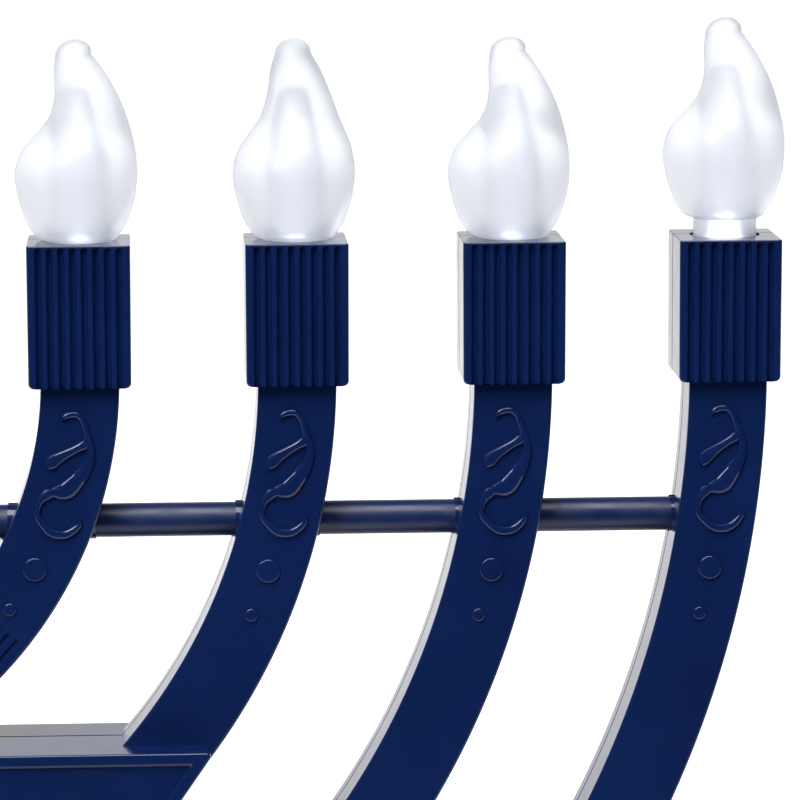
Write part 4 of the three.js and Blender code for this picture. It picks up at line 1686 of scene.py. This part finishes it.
@dataclass
class BatteryBay:
    """The tray, the three cells, their contacts and the hinged door."""

    layout: Layout
    tray_wall: float = 1.2
    spring_turns: float = 2.5
    spring_radius: float = 3.2
    spring_taper: float = 1.5
    strip: float = 0.5

    def door(self, finish: bpy.types.Material) -> None:
        """The hinged door: a rounded plate with a sunken thumb field, grip ribs, a groove and a plain arrow.

        Args:
            finish: Its material.
        """
        low, high = box_mm("battery_door")
        face = self.layout.hub_rear
        plate = to_object("battery_cover", block(low, (high[0], face, high[2]), 0.35, "y"))
        field_z = high[2] - 6.0
        thumb = [
            stand_up(rectangle(22.0 - shrink, 9.0 - shrink, corner, (0, field_z)), face + out)
            for shrink, corner, out in ((0.0, 2.0, 0.5), (0.0, 2.0, 0.0), (1.4, 1.6, -0.6))
        ]
        apply(plate, loft(thumb), Cut.REMOVE)
        ribs = []
        for row in range(3):
            z = high[2] - 3.4 - 2.6 * row
            ribs.append(block((-9, face - 0.9, z - 0.5), (9, high[1], z + 0.5), 0.3))
        apply(plate, gather(ribs), Cut.JOIN)
        width, height, middle = high[0] - low[0], high[2] - low[2], (0, (low[2] + high[2]) / 2)
        outer = rectangle(width - 5.0, height - 5.0, 1.6, middle)
        inner = rectangle(width - 6.2, height - 6.2, 1.2, middle)
        apply(plate, ring_cutter(outer, inner, face - 0.4, face + 1), Cut.REMOVE)
        arrow = [(-3.2, field_z - 9.0), (0, field_z - 12.6), (3.2, field_z - 9.0)]
        apply(plate, slab(arrow, face - 0.3, face + 1), Cut.REMOVE)
        finish_piece(plate, finish, "door", ["battery_door"])

    def tray(self, finish: bpy.types.Material) -> None:
        """The open tray, with low saddles between the cells.

        Args:
            finish: Its material.
        """
        low, high = box_mm("battery_tray")
        wall = self.tray_wall
        shell = to_object("cell_tray", block(low, high, 0.25, "y"))
        inside_low, inside_high = low + wall, (high[0] - wall, high[1] + 1, high[2] - wall)
        apply(shell, box_cutter(inside_low, inside_high), Cut.REMOVE)
        saddles = []
        cells = [box_mm(f"battery_{n}") for n in (1, 2, 3)]
        for (_, lower_high), (upper_low, _) in zip(cells, cells[1:]):
            z = (lower_high[2] + upper_low[2]) / 2
            for x in (-17.0, 0.0, 17.0):
                base = low[1] + wall - 0.2
                rings = [
                    lay_flat(rectangle(1.6, rise, 0.1, (x, base + rise / 2)), z + shift)
                    for rise, shift in ((0.6, -2.4), (2.6, 0.0), (0.6, 2.4))
                ]
                saddles.append(loft(rings))
        apply(shell, gather(saddles), Cut.JOIN)
        finish_piece(shell, finish, replaces=["battery_tray"])

    def cells(self, finishes: Finishes) -> None:
        """Three cells in shrink film, with a bare button and a bare foot.

        Args:
            finishes: The materials.
        """
        for number in (1, 2, 3):
            low, high = box_mm(f"battery_{number}")
            radius, length = (high[2] - low[2]) / 2, high[0] - low[0]
            foot_side = -self.button_side(number)
            foot = middle_mm(f"battery_{number}") + np.array([foot_side * length / 2, 0, 0])
            button = length - 1.4
            film = lathe(
                [
                    (radius - 2.2, 0.25),
                    (radius - 1.1, 0.1),
                    (radius - 0.35, 0.0),
                    (radius, 0.4),
                    (radius, button - 0.6),
                    (radius - 0.3, button - 0.15),
                    (radius - 1.2, button - 0.05),
                    (radius - 1.5, button - 0.3),
                    (radius - 2.2, button - 0.35),
                ]
            )
            metal = lathe(
                [
                    (radius - 2.6, 0.02),
                    (radius - 2.25, 0.3),
                    (radius - 2.25, button - 0.4),
                    (3.4, button - 0.35),
                    (2.9, button - 0.1),
                    (2.8, length - 0.5),
                    (2.5, length - 0.1),
                    (2.0, length),
                ]
            )
            for solid, name, finish, slot in (
                (film, "film", finishes.film, "cell_wrap"),
                (metal, "can", finishes.steel, "plated_steel"),
            ):
                piece = to_object(f"cell_{name}_{number}", solid)
                piece.location = Vector(foot) * MM
                piece.rotation_euler.y = -foot_side * math.pi / 2
                finish_piece(piece, finish, replaces=[f"battery_{number}"] if name == "film" else [])

    @staticmethod
    def button_side(number: int) -> int:
        """The side that a cell's button faces, +1 or -1, since the middle cell lies the other way round."""
        return -1 if number == 2 else 1

    def spring(self, start: float, sign: int, y: float, z: float) -> Solid:
        """A conical spring that presses on a cell's foot.

        Args:
            start: The x of the strip that it stands on.
            sign: The strip's side, +1 or -1.
            y: The y of its axis.
            z: The z of its axis.

        Returns:
            The solid.
        """
        turns = np.linspace(0, 1, round(24 * self.spring_turns))
        reach = self.spring_radius - self.spring_taper * turns
        angle = 2 * math.pi * self.spring_turns * turns
        x = start - sign * (0.1 + 1.3 * turns)
        return wire(np.column_stack([x, y + reach * np.cos(angle), z + reach * np.sin(angle)]), 0.28)

    def contacts(self, finish: bpy.types.Material) -> None:
        """The strips at both ends of the cells: a spring for each foot and a dimple for each button.

        Args:
            finish: Its material.
        """
        for side, sign in (("left", -1), ("right", 1)):
            low, high = box_mm(f"contact_{side}")
            start, end = (high[0] - self.strip, high[0]) if sign > 0 else (low[0], low[0] + self.strip)
            inner = start if sign > 0 else end
            middle_y = (low[1] + high[1]) / 2
            parts = [block((start, low[1], low[2]), (end, high[1], high[2]), 0.12)]
            for number in (1, 2, 3):
                z = middle_mm(f"battery_{number}")[2]
                if sign == self.button_side(number):
                    dome = lathe([(0.3, -0.35), (1.6, -0.35), (1.5, 0.2), (1.1, 0.7), (0.5, 0.9)], 24)
                    parts.append(dome.turned("Y", -90 * sign).moved(inner, middle_y, z))
                else:
                    parts.append(self.spring(inner, sign, middle_y, z))
            piece = to_object(f"contact_strip_{side}", gather(parts))
            finish_piece(piece, finish, replaces=[f"contact_{side}"])


def pad(x: float, z: float, half_x: float, half_z: float, depths: tuple[float, float], bevel: float) -> Solid:
    """A small block about a middle point in x and z, between two depths.

    Args:
        x: Its middle's x.
        z: Its middle's z.
        half_x: Half its width.
        half_z: Half its height.
        depths: The two depths in y.
        bevel: Radius of its corners and rims.

    Returns:
        The solid.
    """
    low, high = (x - half_x, depths[0], z - half_z), (x + half_x, depths[1], z + half_z)
    return block(low, high, bevel, "y")


@dataclass
class Electronics:
    """The small board with its parts, the slide switch, the inlet and the leads."""

    layout: Layout
    board_thickness: float = 1.6
    lift: float = 0.02
    flange: float = 1.6
    travel: float = 4.0

    def board(self, finishes: Finishes) -> None:
        """The board, with a chip, three small parts and rows of pads.

        Args:
            finishes: The materials.
        """
        low, high = box_mm("circuit_board")
        face = high[1] - self.board_thickness
        plate = to_object("driver_board", block((low[0], face, low[2]), high, 0.15, "y"))
        finish_piece(plate, finishes.board, replaces=["circuit_board"])
        x, _, z = middle_mm("circuit_board")
        top = face - self.lift
        parts = [pad(x, z, 3, 3, (face - 1.15, top), 0.12)]
        for dx, dz in ((-5.0, 5.0), (-5.0, 7.5), (5.0, 6.5)):
            parts.append(pad(x + dx, z + dz, 1.0, 0.6, (face - 0.6, top), 0.1))
        finish_piece(to_object("board_parts", gather(parts)), finishes.black)
        pads = []
        for row in range(4):
            for sign in (-1, 1):
                place = (x + sign * 3.7, z - 2.25 + 1.5 * row)
                pads.append(pad(*place, 0.6, 0.3, (face - 0.25, top), 0.08))
        for column in range(5):
            place = (x - 5 + 2.5 * column, low[2] + 2.2)
            pads.append(rod("y", 0.7, face - 0.4, top, place, 20))
        finish_piece(to_object("board_pads", gather(pads)), finishes.tin)

    def switch(self, finishes: Finishes) -> None:
        """The slide switch: its steel can on the board and the knob with its flange and five grip ridges.

        Args:
            finishes: The materials.
        """
        low, high = box_mm("power_switch")
        foot = box_mm("circuit_board")[1][1] + self.lift
        can_low = (low[0] - 0.6, foot, low[2] - 0.2)
        can_high = (high[0] + self.travel + 0.2, low[1] - 0.15, high[2] + 0.2)
        can = to_object("switch_can", block(can_low, can_high, 0.2, "y"))
        finish_piece(can, finishes.steel)
        shoulder = low[1] + self.flange
        knob = to_object("slide_knob", block(low, (high[0], shoulder, high[2]), 0.3, "y"))
        x, _, z = middle_mm("power_switch")
        half_x, half_z = (high[0] - low[0]) / 2 - self.flange, (high[2] - low[2]) / 2 - self.flange
        apply(knob, pad(x, z, half_x, half_z, (shoulder - 0.8, high[1] - 0.35), 0.35), Cut.JOIN)
        depths = (high[1] - 0.9, high[1])
        ridges = [pad(x + shift, z, 0.28, half_z - 0.5, depths, 0.16) for shift in range(-2, 3)]
        apply(knob, gather(ridges), Cut.JOIN)
        finish_piece(knob, finishes.black, "switch", ["power_switch"])

    def inlet(self, finishes: Finishes) -> None:
        """The charging inlet: an oval steel tube with a black tongue.

        Args:
            finishes: The materials.
        """
        low, high = box_mm("usb_inlet")
        x, _, z = middle_mm("usb_inlet")
        width, height = high[0] - low[0], high[2] - low[2]
        rings = []
        for y, inset in edge_levels(low[1], high[1], 0.12):
            outline = rectangle(width - 2 * inset, height - 2 * inset, 1.6 - inset, (x, z), 8)
            rings.append(stand_up(outline, y))
        tube = to_object("inlet_tube", loft(rings))
        bore = rectangle(width - 0.9, height - 0.9, 1.15, (x, z), 8)
        apply(tube, slab(bore, low[1] + 1, high[1] + 1), Cut.REMOVE)
        finish_piece(tube, finishes.steel, replaces=["usb_inlet"])
        tongue = pad(x, z, 3.1, 0.35, (low[1] + 1.05, high[1] - 0.5), 0.15)
        finish_piece(to_object("inlet_tongue", tongue), finishes.black)

    def leads(self, finish: bpy.types.Material) -> None:
        """The CAD's leads keep their shape and get their insulation.

        Args:
            finish: The insulation's material.
        """
        for name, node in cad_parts.items():
            if "wire" in name:
                node.data.materials.clear()
                node.data.materials.append(finish)


# ---------------------------------------------------------------- base


@dataclass
class Base:
    """The stepped base: fluted cover, plate, ballast, screws and rubber feet."""

    layout: Layout
    corner: float = 6.0
    wall: float = 2.2
    edge: float = 0.9
    tiers: tuple[tuple[float, float, float], ...] = (
        (132.0, 76.0, 15.0),
        (110.0, 58.0, 23.0),
        (84.0, 42.0, 32.0),
    )
    flute_pitch: float = 3.4
    flute_half: float = 0.36
    flute_depth: float = 0.7
    band_margin: float = 1.6
    band_run: float = 0.9
    head_height: float = 2.0
    bead_rise: float = 0.8

    FLUTE_SAMPLES = (-1.0, -0.86, -0.5, 0.0, 0.5, 0.86, 1.0)

    def fluted(self, width: float, depth: float, corner: float, share: float) -> Ring:
        """A rounded rectangle whose straight sides carry upright grooves.

        Args:
            width: Its size in x.
            depth: Its size in y.
            corner: Radius of its corners.
            share: Share of the grooves' full depth, from 0 to 1.

        Returns:
            The outline in x and y.
        """
        points: list[tuple[float, float]] = []
        pitch, half = self.flute_pitch, self.flute_pitch * self.flute_half
        x, y = width / 2, depth / 2
        for (ax, ay), (bx, by), (nx, ny) in (
            ((-x + corner, -y), (x - corner, -y), (0, -1)),
            ((x, -y + corner), (x, y - corner), (1, 0)),
            ((x - corner, y), (-x + corner, y), (0, 1)),
            ((-x, y - corner), (-x, -y + corner), (-1, 0)),
        ):
            length = math.hypot(bx - ax, by - ay)
            count = int(length / pitch - 0.3)
            start = (length - count * pitch) / 2
            middles = [start + (i + 0.5) * pitch for i in range(count)]
            places = [0.0, *(middle + t * half for middle in middles for t in self.FLUTE_SAMPLES), length]
            for s in places:
                t = min(abs(s - middle) for middle in middles) / half
                cut = share * self.flute_depth * math.sqrt(1 - t * t) if t < 0.999 else 0.0
                px, py = ax + (bx - ax) * s / length, ay + (by - ay) * s / length
                points.append((px - nx * cut, py - ny * cut))
            start_angle = math.atan2(ny, nx)
            corner_x, corner_y = bx - nx * corner, by - ny * corner
            for k in range(1, 7):
                a = start_angle + math.pi / 2 * k / 7
                points.append((corner_x + corner * math.cos(a), corner_y + corner * math.sin(a)))
        return np.array(points)

    def tier(self, width: float, depth: float, low: float, high: float, fluted: bool) -> Solid:
        """One tier with a rounded top edge and, if fluted, a band of grooves between plain margins.

        Args:
            width: Its size in x.
            depth: Its size in y.
            low: Its foot.
            high: Its top.
            fluted: Whether it carries grooves.

        Returns:
            The solid.
        """
        margin, run = self.band_margin, self.band_run
        rings = []
        bands = [(low, 0.0)]
        if fluted:
            shares = [(t, math.sqrt(1 - (1 - t) ** 2)) for t in (0.0, 0.35, 0.7, 0.9, 1.0)]
            bands += [(low + margin + run * t, share) for t, share in shares]
            bands += [(high - self.edge - margin + run * (1 - t), share) for t, share in reversed(shares)]
        for z, share in bands:
            rings.append(lay_flat(self.fluted(width, depth, self.corner, share), z))
        for a in quarter_turn(5):
            inset = self.edge * (1 - math.cos(a))
            outline = self.fluted(width - 2 * inset, depth - 2 * inset, self.corner - inset, 0.0)
            rings.append(lay_flat(outline, high - self.edge * (1 - math.sin(a))))
        return loft(rings)

    def cover(self, finish: bpy.types.Material) -> None:
        """The hollow stepped cover, with a bead round the foot of each upper tier and of the stem.

        Args:
            finish: Its material.
        """
        bottom = box_mm("base_cover")[0][2]
        (width, depth, below), *upper = self.tiers
        piece = to_object("stepped_cover", self.tier(width, depth, bottom, below, True))
        for width, depth, top in upper:
            apply(piece, self.tier(width, depth, below - 2.0, top, False), Cut.JOIN)
            rise = 2 * self.bead_rise
            apply(piece, self.bead(width + rise, depth + rise, below, self.corner), Cut.JOIN)
            below = top
        apply(piece, self.bead(33.0, 21.6, below, 1.2, 0.5), Cut.JOIN)
        for width, depth, top in self.tiers:
            outline = rectangle(width - 2 * self.wall, depth - 2 * self.wall, self.corner - self.wall)
            apply(piece, loft([lay_flat(outline, z) for z in (bottom - 1, top - self.wall)]), Cut.REMOVE)
        apply(piece, box_cutter((-15.3, -8.8, below), (15.3, 9.8, below + 3)), Cut.REMOVE)
        holes = [
            rod("z", 1.6, below - self.wall - 1, below + 1, tuple(middle_mm(node)[:2]), 24)
            for node in ("base_screw_left", "base_screw_right")
        ]
        apply(piece, gather(holes), Cut.REMOVE)
        finish_piece(piece, finish, replaces=["base_cover"])

    def bead(self, width: float, depth: float, z: float, corner: float, middle_y: float = 0.0) -> Solid:
        """A low half-round bead lying on a tier round what stands on it.

        Args:
            width: Its size in x.
            depth: Its size in y.
            z: The tier's top.
            corner: Radius of its corners.
            middle_y: Its middle in y.

        Returns:
            The solid.
        """
        middle, rise = (0, middle_y), self.bead_rise
        rings = [lay_flat(rectangle(width, depth, corner, middle), z - rise / 2)]
        for a in quarter_turn(5):
            inset = rise * (1 - math.cos(a))
            outline = rectangle(width - 2 * inset, depth - 2 * inset, corner - inset, middle)
            rings.append(lay_flat(outline, z + rise * math.sin(a)))
        return loft(rings)

    def plate(self, finish: bpy.types.Material) -> None:
        """The bottom plate, with rounded rims.

        Args:
            finish: Its material.
        """
        low, high = box_mm("base_plate")
        width, depth, _ = high - low
        rings = []
        for z, inset in edge_levels(low[2], high[2], 0.4):
            outline = rectangle(width - 2 * inset, depth - 2 * inset, self.corner - inset, (0, 0), 8)
            rings.append(lay_flat(outline, z))
        piece = to_object("bottom_plate", loft(rings))
        finish_piece(piece, finish, replaces=["base_plate"])

    def ballast(self, finish: bpy.types.Material) -> None:
        """The steel ballast, with two lifting holes.

        Args:
            finish: Its material.
        """
        low, high = box_mm("ballast_plate")
        piece = to_object("ballast_slab", block(low, high, 0.5))
        holes = gather(rod("z", 3.0, low[2] - 1, high[2] + 1, (x, 0.0)) for x in (low[0] + 14, high[0] - 14))
        apply(piece, holes, Cut.REMOVE)
        finish_piece(piece, finish, replaces=["ballast_plate"])

    def feet(self, finish: bpy.types.Material) -> None:
        """Four rubber feet with a rounded edge and a shallow ring underneath.

        Args:
            finish: Its material.
        """
        for number in range(1, 5):
            node = f"foot_{number}"
            low, high = box_mm(node)
            radius, height = (high[0] - low[0]) / 2, high[2]
            profile = [(0.5, 0.3), (2.4, 0.3), (2.7, 0.0), (radius - 0.4, 0.0), (radius, 0.4)]
            profile += [(radius - 0.3, height), (0.5, height)]
            x, y, _ = middle_mm(node)
            piece = to_object(f"rubber_{node}", lathe(profile).moved(x, y, low[2]))
            finish_piece(piece, finish, replaces=[node])

    def screw_mesh(self) -> bpy.types.Object:
        """A pan-head screw with a cross recess, its seat at 0 and its head upwards.

        Returns:
            The pattern for every screw.
        """
        length, shank, head, height = 14.0, 1.3, 2.7, self.head_height
        relief, rings = 0.25, 10
        profile = [(0.3, -length)]
        for t in np.linspace(0, 1, 101):
            wave = math.cos(2 * math.pi * rings * t)
            profile.append((shank - relief + relief * wave, 1 - length + (length - 2.5) * t))
        profile += [(shank, -0.3), (shank, 0.0), (head - 0.2, 0.0)]
        for a in np.linspace(0, 1.35, 7):
            profile.append((head * math.cos(a), 0.7 + (height - 0.7) * math.sin(a)))
        pattern = to_object("screw_pattern", lathe(profile, 32))
        slot = box_cutter((-1.6, -0.3, height - 1.1), (1.6, 0.3, height + 1))
        apply(pattern, slot, Cut.REMOVE)
        apply(pattern, slot.turned("Z", 90), Cut.REMOVE)
        return pattern

    def screws(self, finish: bpy.types.Material) -> None:
        """The screws in the shells, heads to the rear, and under the base, heads down.

        Args:
            finish: Their material.
        """
        pattern = self.screw_mesh()
        shell_screws = [f"shell_screw_{number}" for number in range(1, 5)]
        for node in (*shell_screws, "base_screw_left", "base_screw_right"):
            low, high = box_mm(node)
            x, y, z = middle_mm(node)
            copy = link(f"pan_head_{node}", pattern.data)
            if node in shell_screws:
                copy.location = Vector((x, high[1] - self.head_height, z)) * MM
                copy.rotation_euler.x = -math.pi / 2
            else:
                copy.location = Vector((x, y, low[2] + self.head_height)) * MM
                copy.rotation_euler.x = math.pi
            finish_piece(copy, finish, replaces=[node])
        bpy.data.objects.remove(pattern)


# ---------------------------------------------------------------- studio


@dataclass
class Studio:
    """The camera, the pale floor and plain soft light."""

    layout: Layout
    lens: float = 198.8
    distance: float = 743.3
    yaw: float = 3.28
    pitch: float = 8.866
    roll: float = -0.131
    aim_drop: float = 27.8
    aim_left: float = 0.46
    floor_back: float = 6.0
    floor_front: float = 0.3
    floor_side: float = 4.0

    def camera(self) -> None:
        """Places the camera at the same height and angle as an onlooker close to the right-hand lights."""
        x = (self.layout.radii[1] + self.layout.radii[2]) / 2 - self.aim_left
        target = Vector((x, self.layout.parting, self.layout.side_top - self.aim_drop)) * MM
        turn = Matrix.Identity(4)
        for degrees, axis in ((-self.yaw, "Z"), (90 - self.pitch, "X"), (self.roll, "Z")):
            turn = turn @ Matrix.Rotation(math.radians(degrees), 4, axis)
        ahead = turn.to_3x3() @ Vector((0, 0, -1))
        data = bpy.data.cameras.new("camera")
        data.lens, data.sensor_width, data.sensor_fit = self.lens, 36.0, "HORIZONTAL"
        data.clip_start, data.clip_end = 0.01, 30.0
        camera = link("camera", data)
        camera.matrix_world = Matrix.Translation(target - ahead * self.distance * MM) @ turn
        bpy.context.scene.camera = camera

    def floor(self) -> None:
        """A pale floor that reaches far behind the object and glows a little more with distance."""
        side, near, far = self.floor_side, -self.floor_front, self.floor_back
        corners = [(-side, near, 0), (side, near, 0), (side, far, 0), (-side, far, 0)]
        mesh = bpy.data.meshes.new("floor")
        mesh.from_pydata(corners, [], [(0, 1, 2, 3)])
        floor = link("floor", mesh)
        nodes = Nodes("pale_floor")
        nodes.set(Base_Color=(0.92, 0.92, 0.92, 1), Roughness=0.9, Specular_IOR_Level=0.2)
        nodes.set(Emission_Color=(1, 1, 1, 1))
        apart = nodes.tree.nodes.new("ShaderNodeSeparateXYZ")
        nodes.tree.links.new(nodes.place, apart.inputs["Vector"])
        sweep = map_range(nodes.tree, apart.outputs["Y"], (0.15, 0.55), (0.12, 0.95))
        nodes.tree.links.new(sweep.outputs["Result"], nodes.shader.inputs["Emission Strength"])
        mesh.materials.append(nodes.material)

    def lamp(self, name: str, place: Point3, aim: Point3, size: float, power: float) -> None:
        """One square softbox, aimed at a point.

        Args:
            name: Its name.
            place: Where it hangs, in metres.
            aim: The point that it faces.
            size: Its side in metres.
            power: Its power in watts.
        """
        data = bpy.data.lights.new(name, "AREA")
        data.shape, data.size, data.energy = "SQUARE", size, power
        lamp = link(name, data)
        lamp.location = place
        lamp.rotation_euler = (Vector(aim) - Vector(place)).to_track_quat("-Z", "Y").to_euler()

    def world(self) -> None:
        """A light tent: white behind the object and dim behind the onlooker."""
        world = bpy.data.worlds.new("tent")
        bpy.context.scene.world = world
        world.use_nodes = True
        tree = world.node_tree
        background = tree.nodes["Background"]
        links = tree.links
        apart = tree.nodes.new("ShaderNodeSeparateXYZ")
        links.new(tree.nodes.new("ShaderNodeTexCoord").outputs["Generated"], apart.inputs["Vector"])
        back = map_range(tree, apart.outputs["Y"], (0.1, 0.85), (0.015, 1.0))
        back.interpolation_type = "SMOOTHSTEP"
        top = map_range(tree, apart.outputs["Z"], (0.35, 0.75), (1.0, 0.08))
        reflected = tree.nodes.new("ShaderNodeMath")
        reflected.operation = "MULTIPLY"
        links.new(back.outputs["Result"], reflected.inputs[0])
        links.new(top.outputs["Result"], reflected.inputs[1])
        rays = tree.nodes.new("ShaderNodeLightPath")
        straight = tree.nodes.new("ShaderNodeMath")
        straight.operation = "MAXIMUM"
        links.new(rays.outputs["Is Camera Ray"], straight.inputs[0])
        links.new(rays.outputs["Is Transmission Ray"], straight.inputs[1])
        mix = tree.nodes.new("ShaderNodeMix")
        mix.inputs["B"].default_value = 1.0
        links.new(straight.outputs["Value"], mix.inputs["Factor"])
        links.new(reflected.outputs["Value"], mix.inputs["A"])
        links.new(mix.outputs["Result"], background.inputs["Strength"])
        background.inputs["Color"].default_value = (1, 1, 1, 1)

    def build(self) -> None:
        """Sets the whole stage."""
        scene = bpy.context.scene
        scene.view_settings.view_transform = "Standard"
        scene.view_settings.look = "None"
        self.camera()
        self.world()
        self.floor()
        self.lamp("front_softbox", (-0.7, -1.2, 1.3), (0, 0, 0.25), 0.8, 24.0)
        self.lamp("top_softbox", (0.1, -0.5, 1.5), (0.1, 0, 0.2), 0.9, 18.0)


def main() -> None:
    """Builds the stage and every sub-assembly in order."""
    logging.basicConfig(level=logging.INFO, format="%(message)s")
    layout = Layout.read()
    Studio(layout).build()
    finishes = Finishes.make()
    body = Body(layout)
    body.front(finishes.navy)
    body.rear(finishes.navy)
    body.bar(finishes.satin)
    FlameBulb(layout).build(finishes)
    bay = BatteryBay(layout)
    bay.tray(finishes.black)
    bay.cells(finishes)
    bay.contacts(finishes.steel)
    bay.door(finishes.navy)
    electronics = Electronics(layout)
    electronics.board(finishes)
    electronics.switch(finishes)
    electronics.inlet(finishes)
    electronics.leads(finishes.cover)
    base = Base(layout)
    base.cover(finishes.navy)
    base.plate(finishes.navy)
    base.ballast(finishes.steel)
    base.feet(finishes.rubber)
    base.screws(finishes.steel)


if __name__ == "__main__":
    main()
